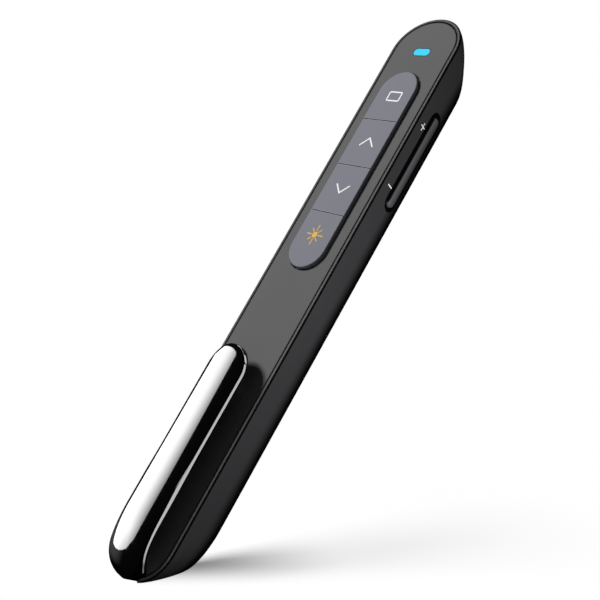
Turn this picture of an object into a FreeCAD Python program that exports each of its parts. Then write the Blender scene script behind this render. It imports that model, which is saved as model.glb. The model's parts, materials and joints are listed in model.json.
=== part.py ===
import FreeCAD, Part

import math
import os

# Wireless presentation clicker. Millimetres. +Y points to the laser nose, +X to the rocker side,
# +Z up through the keys. The origin is on the flat rest strip, under the middle of the body.

V = FreeCAD.Vector
X = V(1, 0, 0)
Y = V(0, 1, 0)
Z = V(0, 0, 1)

# Body: outer form. Its length and height are worked out below from what it has to hold.
body_width = 20.0
rest_width = 4.4
belly_radius = 5.8
rim_edge = 0.25
nose_rise = 12.0
nose_power = 1.7
nose_round_share = 0.9
tail_rise = 5.9
tail_power = 1.4
tail_round_share = 1.0
tail_round_growth = 1.2
arc_steps = 8
side_steps = 9

# Body: walls and the seat of the top panel
wall = 1.2
panel_thickness = 1.5
rim_width = 0.85
panel_groove = 0.25
panel_edge = 0.15
tail_block = 6.5
overrun = 5.0

# Key field
key_field_width = 10.95
key_dividers = 3
key_split_gap = 0.2
key_side_gap = 0.25
key_proud = 0.9
key_travel = 0.3
key_flange_lip = 0.75
key_flange_thickness = 0.4
key_flange_gap = 0.15
key_edge = 0.3
key_well_radius = 1.6
key_stop_gap = 0.1
key_names = ["key_laser", "key_page_down", "key_page_up", "key_screen"]
key_front_length = 13.73
key_rear_length = 14.41
key_pitch = 12.73

# Main board
board_thickness = 0.8
board_depth = 1.5
board_width = 13.8
board_reach = 9.2
board_nose_gap = 7.0
board_cell_gap = 4.9
board_corner = 1.7
switch_size = 4.5
switch_base = 0.55
switch_height = 0.85
switch_button_radius = 1.0

# Status light
light_reach = 6.4
light_length = 4.8
light_width = 1.9
light_gap = 0.05
light_flange = 0.5
light_flange_thickness = 0.45
led_length = 2.0
led_width = 1.25
led_height = 0.7

# Case screws
screw_x = 4.2
screw_rear_reach = 5.7
screw_front_reach = 1.7
screw_radius = 0.8
screw_fit = 0.05
screw_head_radius = 1.4
screw_head_height = 1.2
screw_head_gap = 0.15
screw_head_bottom = 2.0
screw_cross_width = 0.4
screw_cross_depth = 0.5
screw_tip_gap = 0.6
post_radius = 1.7
boss_radius = 1.4
seat_gap = 0.05

# Volume rocker on the right-hand side
rocker_place = 43.7
rocker_drop = 3.1
rocker_length = 24.4
rocker_height = 2.9
rocker_gap = 0.3
rocker_proud = 0.45
rocker_edge = 0.6
rocker_flange_x = 5.6
rocker_flange_thickness = 0.6
rocker_flange_height = 4.2
rocker_flange_overlap = 0.6
rocker_lug_depth = 1.9
rocker_lug_width = 2.8
rocker_lug_height = 2.6
rocker_pin_x = 4.75
rocker_pin_radius = 0.6
rocker_post_radius = 1.4
rocker_post_gap = 0.3
pin_fit = 0.04
volume_switch_offset = 6.5
volume_switch_width = 3.8
volume_switch_depth = 2.5
volume_switch_height = 4.0
volume_button_radius = 0.7
volume_button_length = 0.4
volume_press_gap = 0.4

# Power slider on the left-hand side
slider_place = 38.0
slider_drop = 3.1
slider_length = 6.0
slider_height = 2.6
slider_travel = 3.0
slider_gap = 0.3
slider_proud = 0.4
slider_flange_x = 6.5
slider_flange_thickness = 0.5
slider_flange_height = 3.8
slider_flange_overlap = 1.2
slider_rib_count = 3
slider_rib_width = 0.5
slider_rib_depth = 0.25
power_switch_length = 8.6
power_switch_depth = 2.7
power_switch_height = 3.4
power_switch_gap = 0.3
lever_height = 1.0
lever_width = 1.4
lever_depth = 1.1
lever_gap = 0.2

# Pocket clip
clip_width = 11.8
clip_length = 54.1
clip_tip_round_share = 1.05
clip_pocket_gap = 3.6
clip_thickness = 1.6
clip_crown_radius = 23.0
clip_bend_length = 14.1
clip_bend_drop = 5.1
clip_inner_bend_length = 7.7
clip_tail_wall = 2.3
clip_foot_depth = 4.8
clip_section_depth = 1.7
clip_core_depth = 1.2
clip_bump_setback = 8.1
clip_bump_radius = 2.0
clip_bump_gap = 0.3
clip_gap = 0.35
clip_notch_width = 8.8
clip_eye_rise = 0.4
clip_eye_radius = 1.3
clip_eye_width = 1.4
clip_eye_offset = 2.3
clip_web_height = 1.2
clip_pin_radius = 0.5
clip_pin_length = 8.0
clip_coil_radius = 0.85
clip_coil_wire = 0.4
clip_coil_pitch = 0.55
clip_coil_width = 2.3

# Laser
laser_drop = 3.1
barrel_radius = 2.8
barrel_bore = 2.3
barrel_length = 10.0
barrel_nose_gap = 9.4
barrel_lip = 0.8
barrel_lip_bore = 1.5
barrel_fit = 0.05
lens_thickness = 1.2
lens_fit = 0.03
lens_edge_share = 0.5
diode_flange_radius = 2.25
diode_flange_thickness = 1.0
diode_can_radius = 1.65
diode_can_length = 3.0
diode_setback = 0.6
diode_pin_radius = 0.22
diode_pin_offset = 1.0
driver_thickness = 0.8
driver_width = 4.8
driver_height = 4.4
driver_gap = 0.8
laser_lead_radius = 0.3
laser_lead_foot = 1.1
cradle_first = 2.4
cradle_pitch = 5.0
cradle_thickness = 1.2
cradle_width = 7.8
nose_bore = 1.4
nose_boss_radius = 2.6
nose_boss_gap = 0.3
window_radius = 1.95
window_thickness = 0.7
window_depth = 6.2
window_fit = 0.05

# Battery
cell_radius = 5.25
cell_length = 44.5
cell_floor_gap = 0.3
cell_top_gap = 0.5
cell_tail_gap = 11.4
cell_nub_radius = 1.9
cell_nub_length = 0.8
sleeve_thickness = 0.12
cell_edge = 0.6
bulkhead_thickness = 1.0
contact_thickness = 0.4
contact_width = 8.0
contact_fall = 3.35
contact_rise = 4.25
contact_gap = 0.1
spring_wire = 0.7
spring_base_radius = 3.6
spring_cone_angle = -14.0
spring_length = 4.2
spring_turns = 4
lead_radius = 0.4
lead_x = 5.6
lead_gap = 0.05

# Battery door
door_width = 10.8
door_rear_inset = 2.1
door_front_inset = 0.6
door_gap = 0.15
door_rib_inset = 0.7
door_rib_width = 0.8
door_rib_top = 3.4
door_rib_end_gap = 1.5
door_cut_height = 3.6
door_grip_count = 5
door_grip_pitch = 1.4
door_grip_width = 0.7
door_grip_depth = 0.25
door_grip_inset = 14.5
door_grip_length = 7.0

# Receiver and its bay on the underside
bay_place = 9.0
receiver_width = 12.4
receiver_height = 4.9
receiver_bottom = 2.4
receiver_cap_length = 6.8
receiver_gap = 0.25
receiver_edge = 0.6
bay_wall = 0.9
plug_width = 12.0
plug_height = 4.5
plug_length = 12.4
plug_wall = 0.3
plug_hole_length = 2.2
plug_hole_width = 2.5
plug_hole_offset = 3.0
plug_hole_front = 4.4
tongue_width = 11.0
tongue_height = 1.9
tongue_length = 11.6
usb_contact_count = 4
usb_contact_pitch = 2.3
usb_contact_width = 1.0
usb_contact_length = 8.0
usb_contact_thickness = 0.15
finger_notch_radius = 3.6
finger_notch_depth = 1.6
magnet_radius = 2.5
magnet_height = 1.2

# Parts on the main board
chip_size = 5.0
chip_height = 0.9
chip_x = -0.6
chip_place = 49.0
crystal_length = 3.2
crystal_width = 2.5
crystal_height = 0.8
crystal_place = 56.0
converter_size = 4.0
converter_height = 1.6
converter_place = 28.0
passive_length = 1.0
passive_width = 0.5
passive_height = 0.5
passive_count = 8
passive_pitch = 1.6
passive_place = 34.0
antenna_width = 0.8
antenna_height = 0.1
antenna_span = 8.4
antenna_bar = 1.6
antenna_edge_gap = 0.6
antenna_pitch = 2.0

# Body length: tail, cell with its contacts, gap, board under the key field, nose
cell_end_gap = contact_thickness + contact_gap
cell_bay_length = 2 * cell_end_gap + spring_length + cell_length + bulkhead_thickness
key_field_length = key_front_length + key_pitch * (key_dividers - 1) + key_rear_length
board_length = key_field_length + 2 * board_reach
body_length = cell_tail_gap + cell_bay_length + board_cell_gap + board_length + board_nose_gap
half_length = body_length / 2

# Body height: the cell between the floor and the panel
cell_axis_z = wall + cell_floor_gap + cell_radius
panel_bottom = cell_axis_z + cell_radius + cell_top_gap
body_height = panel_bottom + panel_thickness
shoulder = body_height - rim_edge
half_width = body_width / 2
rest_half = rest_width / 2
panel_inset = rim_width + panel_groove

# Places along the body, from the nose to the tail
board_front = half_length - board_nose_gap
board_rear = board_front - board_length
key_field_front = board_front - board_reach
key_field_rear = board_rear + board_reach
key_divider_first = key_field_front - key_front_length
light_y = key_field_front + light_reach
barrel_front = half_length - barrel_nose_gap
barrel_rear = barrel_front - barrel_length
nose_boss_rear = barrel_front + nose_boss_gap
window_rear = half_length - window_depth
rocker_y = board_rear + rocker_place
slider_y = board_rear + slider_place
bay_rear = board_rear + bay_place
bulkhead_front_y = board_rear - board_cell_gap
bulkhead_rear_y = bulkhead_front_y - cell_bay_length
cell_front_y = bulkhead_front_y - bulkhead_thickness - cell_end_gap
cell_rear_y = cell_front_y - cell_length
door_front = bulkhead_front_y - door_front_inset
door_rear = bulkhead_rear_y + door_rear_inset
clip_tip = clip_length - half_length
clip_bend_start = clip_bend_length - half_length
clip_inner_rear = clip_tail_wall - half_length
clip_inner_bend_start = clip_inner_rear + clip_inner_bend_length
clip_eye_y = clip_inner_rear + clip_eye_radius

# Heights
key_half = key_field_width / 2
board_top = panel_bottom - board_depth
board_bottom = board_top - board_thickness
rocker_z = board_bottom - rocker_drop
slider_z = board_bottom - slider_drop
laser_z = board_bottom - laser_drop
contact_low = cell_axis_z - contact_fall
contact_high = cell_axis_z + contact_rise
clip_underside = body_height + clip_pocket_gap
clip_crown = clip_underside + clip_thickness
clip_bottom = body_height - clip_foot_depth
clip_eye_z = clip_bottom + clip_eye_rise
clip_inner_bend_drop = clip_underside - clip_eye_z


def side_taper():
    """Angle from the vertical at which the side runs tangent into the belly."""
    across = half_width - rest_half
    rise = shoulder - belly_radius
    return math.acos(belly_radius / math.hypot(across, rise)) - math.atan2(rise, across)


taper = side_taper()


def side_x(z, inset=0.0):
    """Distance of the tapered side from the middle plane at height z."""
    return half_width - (shoulder - z) * math.tan(taper) - inset / math.cos(taper)


def depth_share(z):
    """How far z lies below the shoulder: 0 at the shoulder, 1 at the underside."""
    return max(shoulder - z, 0) / shoulder


def end_y(z, rise, power, inset=0.0):
    """Distance of the nose or tail tip from the origin at height z."""
    depth = depth_share(z)
    slope = rise * power / shoulder * depth ** (power - 1)
    return half_length - rise * depth ** power - inset * math.sqrt(1 + slope ** 2)


def half_ellipse(half_x, length_y, y, z, front):
    """Half-ellipse edge from +X to -X round the front, or from -X to +X round the rear."""
    turn = 0 if front else 180
    arc = Part.makeCircle(1, V(0, 0, 0), Z, turn, turn + 180)
    scale = FreeCAD.Matrix()
    scale.scale(half_x, length_y, 1)
    scale.move(V(0, y, z))
    return arc.transformGeometry(scale)


def plan_wire(half_x, front_y, rear_y, front_round, rear_round, z):
    """Closed long outline with two round ends at height z."""
    front_base = front_y - front_round
    rear_base = rear_y + rear_round
    front = half_ellipse(half_x, front_round, front_base, z, True)
    rear = half_ellipse(half_x, rear_round, rear_base, z, False)
    left = Part.makeLine(V(-half_x, front_base, z), V(-half_x, rear_base, z))
    right = Part.makeLine(V(half_x, rear_base, z), V(half_x, front_base, z))
    return Part.Wire([front, left, rear, right])


def body_wire(half_x, z, nose_inset, tail_inset):
    front_y = end_y(z, nose_rise, nose_power, nose_inset)
    rear_y = -end_y(z, tail_rise, tail_power, tail_inset)
    front_round = half_x * nose_round_share
    rear_round = half_x * (tail_round_share + tail_round_growth * depth_share(z))
    return plan_wire(half_x, front_y, rear_y, front_round, rear_round, z)


def body_form(inset, nose_inset, tail_inset, top):
    """Loft of the body's outer form, or of the same form set in by a wall."""
    radius = belly_radius - inset
    wires = []
    for step in range(arc_steps + 1):
        angle = (math.pi / 2 - taper) * step / arc_steps
        z = belly_radius - radius * math.cos(angle)
        x = rest_half + radius * math.sin(angle)
        wires.append(body_wire(x, z, nose_inset, tail_inset))
    start = belly_radius - radius * math.sin(taper)
    for step in range(1, side_steps + 1):
        z = start + (top - start) * step / side_steps
        wires.append(body_wire(side_x(z, inset), z, nose_inset, tail_inset))
    return Part.makeLoft(wires, True, False)


def outer_form():
    """The whole body with its small sloped top edge."""
    form = body_form(0.0, 0.0, 0.0, shoulder)
    low = body_wire(half_width, shoulder, 0.0, 0.0)
    high = body_wire(half_width - rim_edge, body_height, rim_edge, rim_edge)
    return form.fuse(Part.makeLoft([low, high], True, True)).removeSplitter()


def rim_plan(inset, z):
    """Outline parallel to the rim's outer edge, set in by a width."""
    half_x = half_width - inset
    front_round = half_width * nose_round_share - inset
    rear_round = half_width * tail_round_share - inset
    tip = half_length - inset
    return plan_wire(half_x, tip, -tip, front_round, rear_round, z)


def box(x0, x1, y0, y1, z0, z1):
    return Part.makeBox(x1 - x0, y1 - y0, z1 - z0, V(x0, y0, z0))


def box_at(x, y, length_x, length_y, z0, z1):
    """Box centred on x and y."""
    return box(x - length_x / 2, x + length_x / 2, y - length_y / 2, y + length_y / 2, z0, z1)


def rod_x(radius, x0, x1, y, z):
    return Part.makeCylinder(radius, x1 - x0, V(x0, y, z), X)


def rod_y(radius, y0, y1, x, z):
    return Part.makeCylinder(radius, y1 - y0, V(x, y0, z), Y)


def rod_z(radius, z0, z1, x, y):
    return Part.makeCylinder(radius, z1 - z0, V(x, y, z0), Z)


def prism(wire, height):
    return Part.Face(wire).extrude(V(0, 0, height))


def stadium_prism(half_x, front_y, rear_y, z0, z1):
    """Upright prism with half-round ends."""
    return prism(plan_wire(half_x, front_y, rear_y, half_x, half_x, z0), z1 - z0)


def side_stadium(length, height, y, z, x0, x1):
    """Prism along X whose outline is a long round-ended slot in the YZ plane."""
    radius = height / 2
    reach = length / 2 - radius
    middle = box(x0, x1, y - reach, y + reach, z - radius, z + radius)
    ends = [rod_x(radius, x0, x1, y + side * reach, z) for side in (-1, 1)]
    return middle.multiFuse(ends).removeSplitter()


def side_cut(proud, side):
    """Solid outside the tapered side plane moved outwards by proud; side is 1 for right, -1 for left."""
    top = body_height + overrun
    x_top = side_x(top) + proud / math.cos(taper)
    x_low = side_x(0) + proud / math.cos(taper)
    far = half_width + 2 * overrun
    points = [V(side * x_low, 0, 0), V(side * far, 0, 0), V(side * far, 0, top), V(side * x_top, 0, top)]
    face = Part.Face(Part.makePolygon(points + points[:1]))
    face.translate(V(0, -body_length, 0))
    return face.extrude(V(0, 2 * body_length, 0))


def fillet_where(shape, radius, test):
    """Round the edges whose middle point passes the test."""
    edges = [edge for edge in shape.Edges if test(edge.CenterOfMass, edge)]
    return shape.makeFillet(radius, edges)


# Key field

def key_spans():
    """Rear and front end of each key, from the rear to the front."""
    dividers = [key_divider_first - key_pitch * (key_dividers - 1 - step) for step in range(key_dividers)]
    cuts = [key_field_rear] + dividers + [key_field_front]
    return list(zip(cuts[:-1], cuts[1:]))


def switch_places():
    return [(rear + front) / 2 for rear, front in key_spans()]


def make_key(rear, front):
    half_gap = key_split_gap / 2
    low = rear + half_gap if rear > key_field_rear else rear - overrun
    high = front - half_gap if front < key_field_front else front + overrun
    top = body_height + key_proud
    flange_top = panel_bottom - key_flange_gap
    flange_bottom = flange_top - key_flange_thickness
    cap = stadium_prism(key_half, key_field_front, key_field_rear, flange_bottom, top)
    cap = fillet_where(cap, key_edge, lambda point, edge: point.z > top - key_edge / 2)
    lip = key_flange_lip
    flange = stadium_prism(key_half + lip, key_field_front + lip, key_field_rear - lip,
                           flange_bottom, flange_top)
    key = cap.fuse(flange)
    key = key.common(box(-half_width, half_width, low, high, flange_bottom, top))
    middle = (rear + front) / 2
    button_top = board_top + switch_height
    well = rod_z(key_well_radius, flange_bottom - overrun, button_top + key_travel + key_stop_gap, 0, middle)
    return key.cut(well).removeSplitter()


def make_key_switches():
    group = []
    for y in switch_places():
        base = box_at(0, y, switch_size, switch_size, board_top, board_top + switch_base)
        button = rod_z(switch_button_radius, board_top, board_top + switch_height, 0, y)
        group.append(base.fuse(button).removeSplitter())
    return Part.makeCompound(group)


# Shell and panel

def screw_places():
    rear = key_field_rear - screw_rear_reach
    front = key_field_front + screw_front_reach
    return [(side * screw_x, y) for y in (rear, front) for side in (-1, 1)]


def clip_outer_plan(grow, z0, z1):
    """Prism with the clip's outline, grown by a clearance."""
    half_x = clip_width / 2 + grow
    tip = clip_tip + grow
    tail = -half_length - grow
    front_round = half_x * clip_tip_round_share
    return prism(plan_wire(half_x, tip, tail, front_round, half_x, z0), z1 - z0)


def bend_profile(start, length, drop, base_z, low, front):
    """Region in front of and under a quarter-ellipse bend, as a solid along X."""
    centre = V(0, start, base_z)
    top = V(0, start, base_z + drop)
    rear = V(0, start - length, base_z)
    if length > drop:
        curve = Part.Ellipse(rear, top, centre)
        arc = Part.ArcOfEllipse(curve, 0, math.pi / 2).toShape()
    else:
        curve = Part.Ellipse(top, rear, centre)
        arc = Part.ArcOfEllipse(curve, 0, math.pi / 2).toShape()
    foot = V(0, start - length, low)
    corner = V(0, front, low)
    brow = V(0, front, base_z + drop)
    edges = [arc, Part.makeLine(rear, foot), Part.makeLine(foot, corner),
             Part.makeLine(corner, brow), Part.makeLine(brow, top)]
    wire = Part.Wire(Part.__sortEdges__(edges))
    face = Part.Face(wire)
    face.translate(V(-body_width, 0, 0))
    return face.extrude(V(2 * body_width, 0, 0))


def clip_inner_region(grow, low):
    """Everything inside the clip's bend; grow moves the surface away from the clip."""
    return bend_profile(clip_inner_bend_start, clip_inner_bend_length - grow,
                        clip_inner_bend_drop - grow, clip_underside - clip_inner_bend_drop,
                        low, half_length)


def clip_notch():
    """Room in the tail for the clip's bend and its eyes."""
    low = clip_bottom - 2 * clip_gap
    top = body_height + overrun
    plan = clip_outer_plan(clip_gap, low, top)
    mouth = box_at(0, -half_length, clip_notch_width, 2 * overrun, low, top)
    behind = box(-half_width, half_width, -half_length - overrun, clip_inner_bend_start, low, top)
    notch = plan.fuse(mouth).common(behind).cut(clip_inner_region(clip_gap, low - overrun))
    slot_half = clip_eye_offset + clip_eye_width / 2 + clip_gap
    reach = clip_eye_radius + clip_gap
    slot = box(-slot_half, slot_half, -half_length - overrun, clip_eye_y, low, clip_eye_z + reach)
    bore = rod_x(reach, -slot_half, slot_half, clip_eye_y, clip_eye_z)
    return notch.fuse([slot, bore])


def bay_box(grow, bottom):
    """Receiver bay's inside, or its walls when grown."""
    half_x = receiver_width / 2 + receiver_gap + grow
    rear = bay_rear - grow
    front = bay_rear + receiver_cap_length + plug_length + 2 * receiver_gap + grow
    top = receiver_bottom + receiver_height + receiver_gap + grow
    return box(-half_x, half_x, rear, front, bottom, top)


def door_block(grow):
    half_x = door_width / 2 + grow
    return box(-half_x, half_x, door_rear - grow, door_front + grow, -overrun, door_cut_height)


def make_bottom_shell(outer):
    cavity = body_form(wall, wall, tail_block, panel_bottom)
    shell = outer.cut(cavity)
    seat = prism(rim_plan(rim_width, panel_bottom), panel_thickness + overrun)
    shell = shell.cut(seat)

    inside = []
    for x, y in screw_places():
        inside.append(rod_z(post_radius, 0, board_bottom, x, y))
    inside.append(bay_box(bay_wall, 0))
    for y in (bulkhead_rear_y, bulkhead_front_y):
        inside.append(box(-half_width, half_width, y - bulkhead_thickness, y, 0, panel_bottom - seat_gap))
    for y in (barrel_rear + cradle_first, barrel_rear + cradle_first + cradle_pitch):
        inside.append(box_at(0, y, cradle_width, cradle_thickness, 0, laser_z))
    inside.append(rod_y(nose_boss_radius, nose_boss_rear, half_length, 0, laser_z))
    post_top = rocker_z - rocker_flange_height / 2 - rocker_post_gap
    inside.append(rod_z(rocker_post_radius, 0, post_top, rocker_pin_x, rocker_y))
    inner_space = body_form(wall / 2, wall / 2, tail_block - wall / 2, panel_bottom - seat_gap)
    for piece in inside:
        shell = shell.fuse(piece.common(inner_space))

    cuts = [clip_notch(), bay_box(0, -overrun), door_block(0)]
    cuts.append(rod_y(barrel_radius + barrel_fit, barrel_rear - overrun, nose_boss_rear, 0, laser_z))
    cuts.append(rod_y(nose_bore, nose_boss_rear - overrun, half_length + overrun, 0, laser_z))
    cuts.append(rod_y(window_radius + window_fit, window_rear, half_length + overrun, 0, laser_z))
    for x, y in screw_places():
        cuts.append(rod_z(screw_radius + screw_fit, -overrun, board_bottom + overrun, x, y))
        head_top = screw_head_bottom + screw_head_height
        cuts.append(rod_z(screw_head_radius + screw_head_gap, -overrun, head_top, x, y))
    cuts.append(side_stadium(rocker_length + 2 * rocker_gap, rocker_height + 2 * rocker_gap,
                             rocker_y, rocker_z, rocker_flange_x, half_width + overrun))
    cuts.append(side_stadium(slider_length + slider_travel + 2 * slider_gap,
                             slider_height + 2 * slider_gap, slider_y, slider_z,
                             -half_width - overrun, -slider_flange_x))
    cuts.append(rod_z(rocker_pin_radius, wall, post_top + overrun, rocker_pin_x, rocker_y))
    cuts.append(rod_x(clip_pin_radius, -clip_pin_length / 2, clip_pin_length / 2, clip_eye_y, clip_eye_z))
    cuts.append(rod_z(finger_notch_radius, -overrun, receiver_bottom + finger_notch_depth, 0, bay_rear))
    cuts.append(rod_y(cell_radius + cell_floor_gap, bulkhead_rear_y, cell_rear_y, 0, cell_axis_z))
    cuts.append(rod_y(lead_radius + lead_gap, bulkhead_rear_y - bulkhead_thickness,
                      bulkhead_front_y + lead_gap, lead_x, lead_z()))
    for piece in cuts:
        shell = shell.cut(piece)
    return shell.removeSplitter()


def make_top_panel():
    panel = prism(rim_plan(panel_inset, panel_bottom), panel_thickness)
    panel = fillet_where(panel, panel_edge, lambda point, edge: point.z > body_height - panel_edge / 2)
    gap = key_side_gap
    window = stadium_prism(key_half + gap, key_field_front + gap, key_field_rear - gap,
                           panel_bottom - overrun, body_height + overrun)
    panel = panel.cut(window)
    panel = panel.cut(light_bar(light_gap, panel_bottom - overrun, body_height + overrun))
    for x, y in screw_places():
        panel = panel.fuse(rod_z(boss_radius, board_top + seat_gap, panel_bottom, x, y))
        tip = body_height - screw_tip_gap
        panel = panel.cut(rod_z(screw_radius + seat_gap / 2, board_top - overrun, tip + seat_gap, x, y))
    return panel.cut(clip_notch()).removeSplitter()


def light_bar(grow, z0, z1):
    """Short bar across the panel with round ends."""
    radius = light_width / 2 + grow
    reach = light_length / 2 - light_width / 2
    middle = box(-reach, reach, light_y - radius, light_y + radius, z0, z1)
    ends = [rod_z(radius, z0, z1, side * reach, light_y) for side in (-1, 1)]
    return middle.multiFuse(ends).removeSplitter()


def make_light_window():
    flange_top = panel_bottom - seat_gap
    bar = light_bar(0, flange_top - light_flange_thickness, body_height)
    flange = light_bar(light_flange, flange_top - light_flange_thickness, flange_top)
    return bar.fuse(flange).removeSplitter()


def make_status_led():
    return box_at(0, light_y, led_length, led_width, board_top, board_top + led_height)


def make_main_board():
    half_x = board_width / 2
    board = box(-half_x, half_x, board_rear, board_front, board_bottom, board_top)
    board = fillet_where(board, board_corner, lambda point, edge: abs(point.x) > half_x - seat_gap
                         and edge.Length < 2 * board_thickness)
    for x, y in screw_places():
        board = board.cut(rod_z(screw_radius + 2 * screw_fit, board_bottom - overrun, board_top + overrun, x, y))
    return board


def make_case_screws():
    group = []
    for x, y in screw_places():
        head_top = screw_head_bottom + screw_head_height
        head = rod_z(screw_head_radius, screw_head_bottom, head_top, x, y)
        shank = rod_z(screw_radius, head_top - seat_gap, body_height - screw_tip_gap, x, y)
        screw = head.fuse(shank)
        slot_top = screw_head_bottom + screw_cross_depth
        for wide, deep in ((2 * screw_radius, screw_cross_width), (screw_cross_width, 2 * screw_radius)):
            screw = screw.cut(box_at(x, y, wide, deep, screw_head_bottom - overrun, slot_top))
        group.append(screw.removeSplitter())
    return Part.makeCompound(group)


# Volume rocker

def make_volume_rocker():
    flange_out = rocker_flange_x + rocker_flange_thickness
    bar = side_stadium(rocker_length, rocker_height, rocker_y, rocker_z, rocker_flange_x, half_width + overrun)
    bar = bar.cut(side_cut(rocker_proud, 1))
    face_x = side_x(rocker_z)
    bar = fillet_where(bar, rocker_edge, lambda point, edge: point.x > face_x - rocker_height / 2)
    flange_length = rocker_length + 2 * rocker_flange_overlap
    flange = side_stadium(flange_length, rocker_flange_height, rocker_y, rocker_z, rocker_flange_x, flange_out)
    lug = box_at(rocker_flange_x - rocker_lug_depth / 2 + seat_gap, rocker_y,
                 rocker_lug_depth, rocker_lug_width,
                 rocker_z - rocker_lug_height / 2, rocker_z + rocker_lug_height / 2)
    bore = rod_z(rocker_pin_radius + pin_fit, 0, body_height, rocker_pin_x, rocker_y)
    return bar.multiFuse([flange, lug]).cut(bore).removeSplitter()


def make_rocker_pin():
    return rod_z(rocker_pin_radius, wall, board_bottom - seat_gap, rocker_pin_x, rocker_y)


def make_volume_switches():
    group = []
    tip = rocker_flange_x - volume_press_gap
    face = tip - volume_button_length
    for side in (-1, 1):
        y = rocker_y + side * volume_switch_offset
        body = box_at(face - volume_switch_depth / 2, y, volume_switch_depth, volume_switch_width,
                      board_bottom - volume_switch_height, board_bottom)
        button = rod_x(volume_button_radius, face - volume_button_length, tip, y, rocker_z)
        group.append(body.fuse(button).removeSplitter())
    return Part.makeCompound(group)


# Power slider

def make_power_slider():
    rest_y = slider_y - slider_travel / 2
    inner = slider_flange_x - slider_flange_thickness
    pad = side_stadium(slider_length, slider_height, rest_y, slider_z, -half_width - overrun, -inner)
    pad = pad.cut(side_cut(slider_proud, -1))
    flange_length = slider_length + slider_travel + 2 * slider_flange_overlap
    flange = side_stadium(flange_length, slider_flange_height, rest_y, slider_z, -slider_flange_x, -inner)
    slider = pad.fuse(flange)
    for step in range(slider_rib_count):
        y = rest_y + (step - (slider_rib_count - 1) / 2) * 2 * slider_rib_width
        groove = box_at(-half_width, y, 2 * half_width, slider_rib_width, 0, body_height)
        groove = groove.common(side_cut(slider_proud - slider_rib_depth, -1))
        slider = slider.cut(groove)
    return slider.removeSplitter()


def switch_face_x():
    return -(slider_flange_x - slider_flange_thickness - power_switch_gap)


def make_power_switch():
    face = switch_face_x()
    top = board_bottom
    body = box(face, face + power_switch_depth, slider_y - power_switch_length / 2,
               slider_y + power_switch_length / 2, top - power_switch_height, top)
    groove_half = (lever_width + slider_travel) / 2 + lever_gap
    groove = box(face - overrun, face + lever_depth - power_switch_gap + lever_gap,
                 slider_y - groove_half, slider_y + groove_half,
                 slider_z - lever_height / 2 - lever_gap, slider_z + lever_height / 2 + lever_gap)
    return body.cut(groove)


def make_power_lever():
    back = -(slider_flange_x - slider_flange_thickness)
    return box_at(back + lever_depth / 2, slider_y - slider_travel / 2, lever_depth, lever_width,
                  slider_z - lever_height / 2, slider_z + lever_height / 2)


# Pocket clip

def clip_band():
    """Crowned bar swept along the clip's outer line, from the tip round the tail."""
    bend_rear = -half_length
    base_z = clip_crown - clip_bend_drop
    centre = V(0, clip_bend_start, base_z)
    top = V(0, clip_bend_start, clip_crown)
    rear = V(0, bend_rear, base_z)
    curve = Part.Ellipse(rear, top, centre)
    arc = Part.ArcOfEllipse(curve, 0, math.pi / 2).toShape()
    start = V(0, clip_tip + overrun, clip_crown)
    foot = V(0, bend_rear, clip_bottom - overrun)
    edges = [Part.makeLine(start, top), arc, Part.makeLine(rear, foot)]
    path = Part.Wire(Part.__sortEdges__(edges))
    half_x = clip_width / 2 + clip_gap
    sag = clip_crown_radius - math.sqrt(clip_crown_radius ** 2 - half_x ** 2)
    left = start + V(-half_x, 0, -sag)
    right = start + V(half_x, 0, -sag)
    crown = Part.Arc(left, start, right).toShape()
    low_left = start + V(-half_x, 0, -clip_section_depth)
    low_right = start + V(half_x, 0, -clip_section_depth)
    section = Part.Wire([crown, Part.makeLine(right, low_right), Part.makeLine(low_right, low_left),
                         Part.makeLine(low_left, left)])
    return path.makePipeShell([section], True, False)


def make_clip(outer):
    low = clip_bottom
    core = bend_profile(clip_bend_start, half_length + clip_bend_start - clip_core_depth,
                        clip_bend_drop - clip_core_depth, clip_crown - clip_bend_drop, low, clip_tip)
    band = clip_band().fuse(core).common(clip_outer_plan(0, low, clip_crown + overrun))
    clip = band.cut(clip_inner_region(0, low - overrun))
    join_z = shoulder
    below = clip.common(outer).common(box(-half_width, half_width, -body_length, body_length, 0, join_z))
    above = clip.common(box(-half_width, half_width, -body_length, body_length, join_z, clip_crown + overrun))
    clip = above.fuse(below)
    bump_y = clip_tip - clip_bump_setback
    bump_z = body_height + clip_bump_gap + clip_bump_radius
    stem = rod_z(clip_bump_radius, bump_z, clip_underside + rim_edge, 0, bump_y)
    clip = clip.multiFuse([stem, Part.makeSphere(clip_bump_radius, V(0, bump_y, bump_z))])
    eyes = []
    for side in (-1, 1):
        x0 = side * clip_eye_offset - clip_eye_width / 2
        x1 = x0 + clip_eye_width
        eye = rod_x(clip_eye_radius, x0, x1, clip_eye_y, clip_eye_z)
        web_low = clip_eye_z - clip_web_height / 2
        web_rear = clip_inner_rear - rim_edge
        web = box(x0, x1, web_rear, clip_eye_y, web_low, web_low + clip_web_height)
        eyes.append(eye.fuse(web).common(outer))
    clip = clip.multiFuse(eyes)
    bore = rod_x(clip_pin_radius + pin_fit, -half_width, half_width, clip_eye_y, clip_eye_z)
    return clip.cut(bore).removeSplitter()


def make_clip_pin():
    return rod_x(clip_pin_radius, -clip_pin_length / 2, clip_pin_length / 2, clip_eye_y, clip_eye_z)


def coil(pitch, height, radius, wire_radius, cone=0.0):
    """Unbroken round-wire coil along +Z from the origin."""
    line = Part.makeHelix(pitch, height, radius, cone)
    path = Part.Wire(line.Edges)
    ring = Part.Wire(Part.makeCircle(wire_radius, V(radius, 0, 0), Y))
    return path.makePipeShell([ring], True, True)


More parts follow.
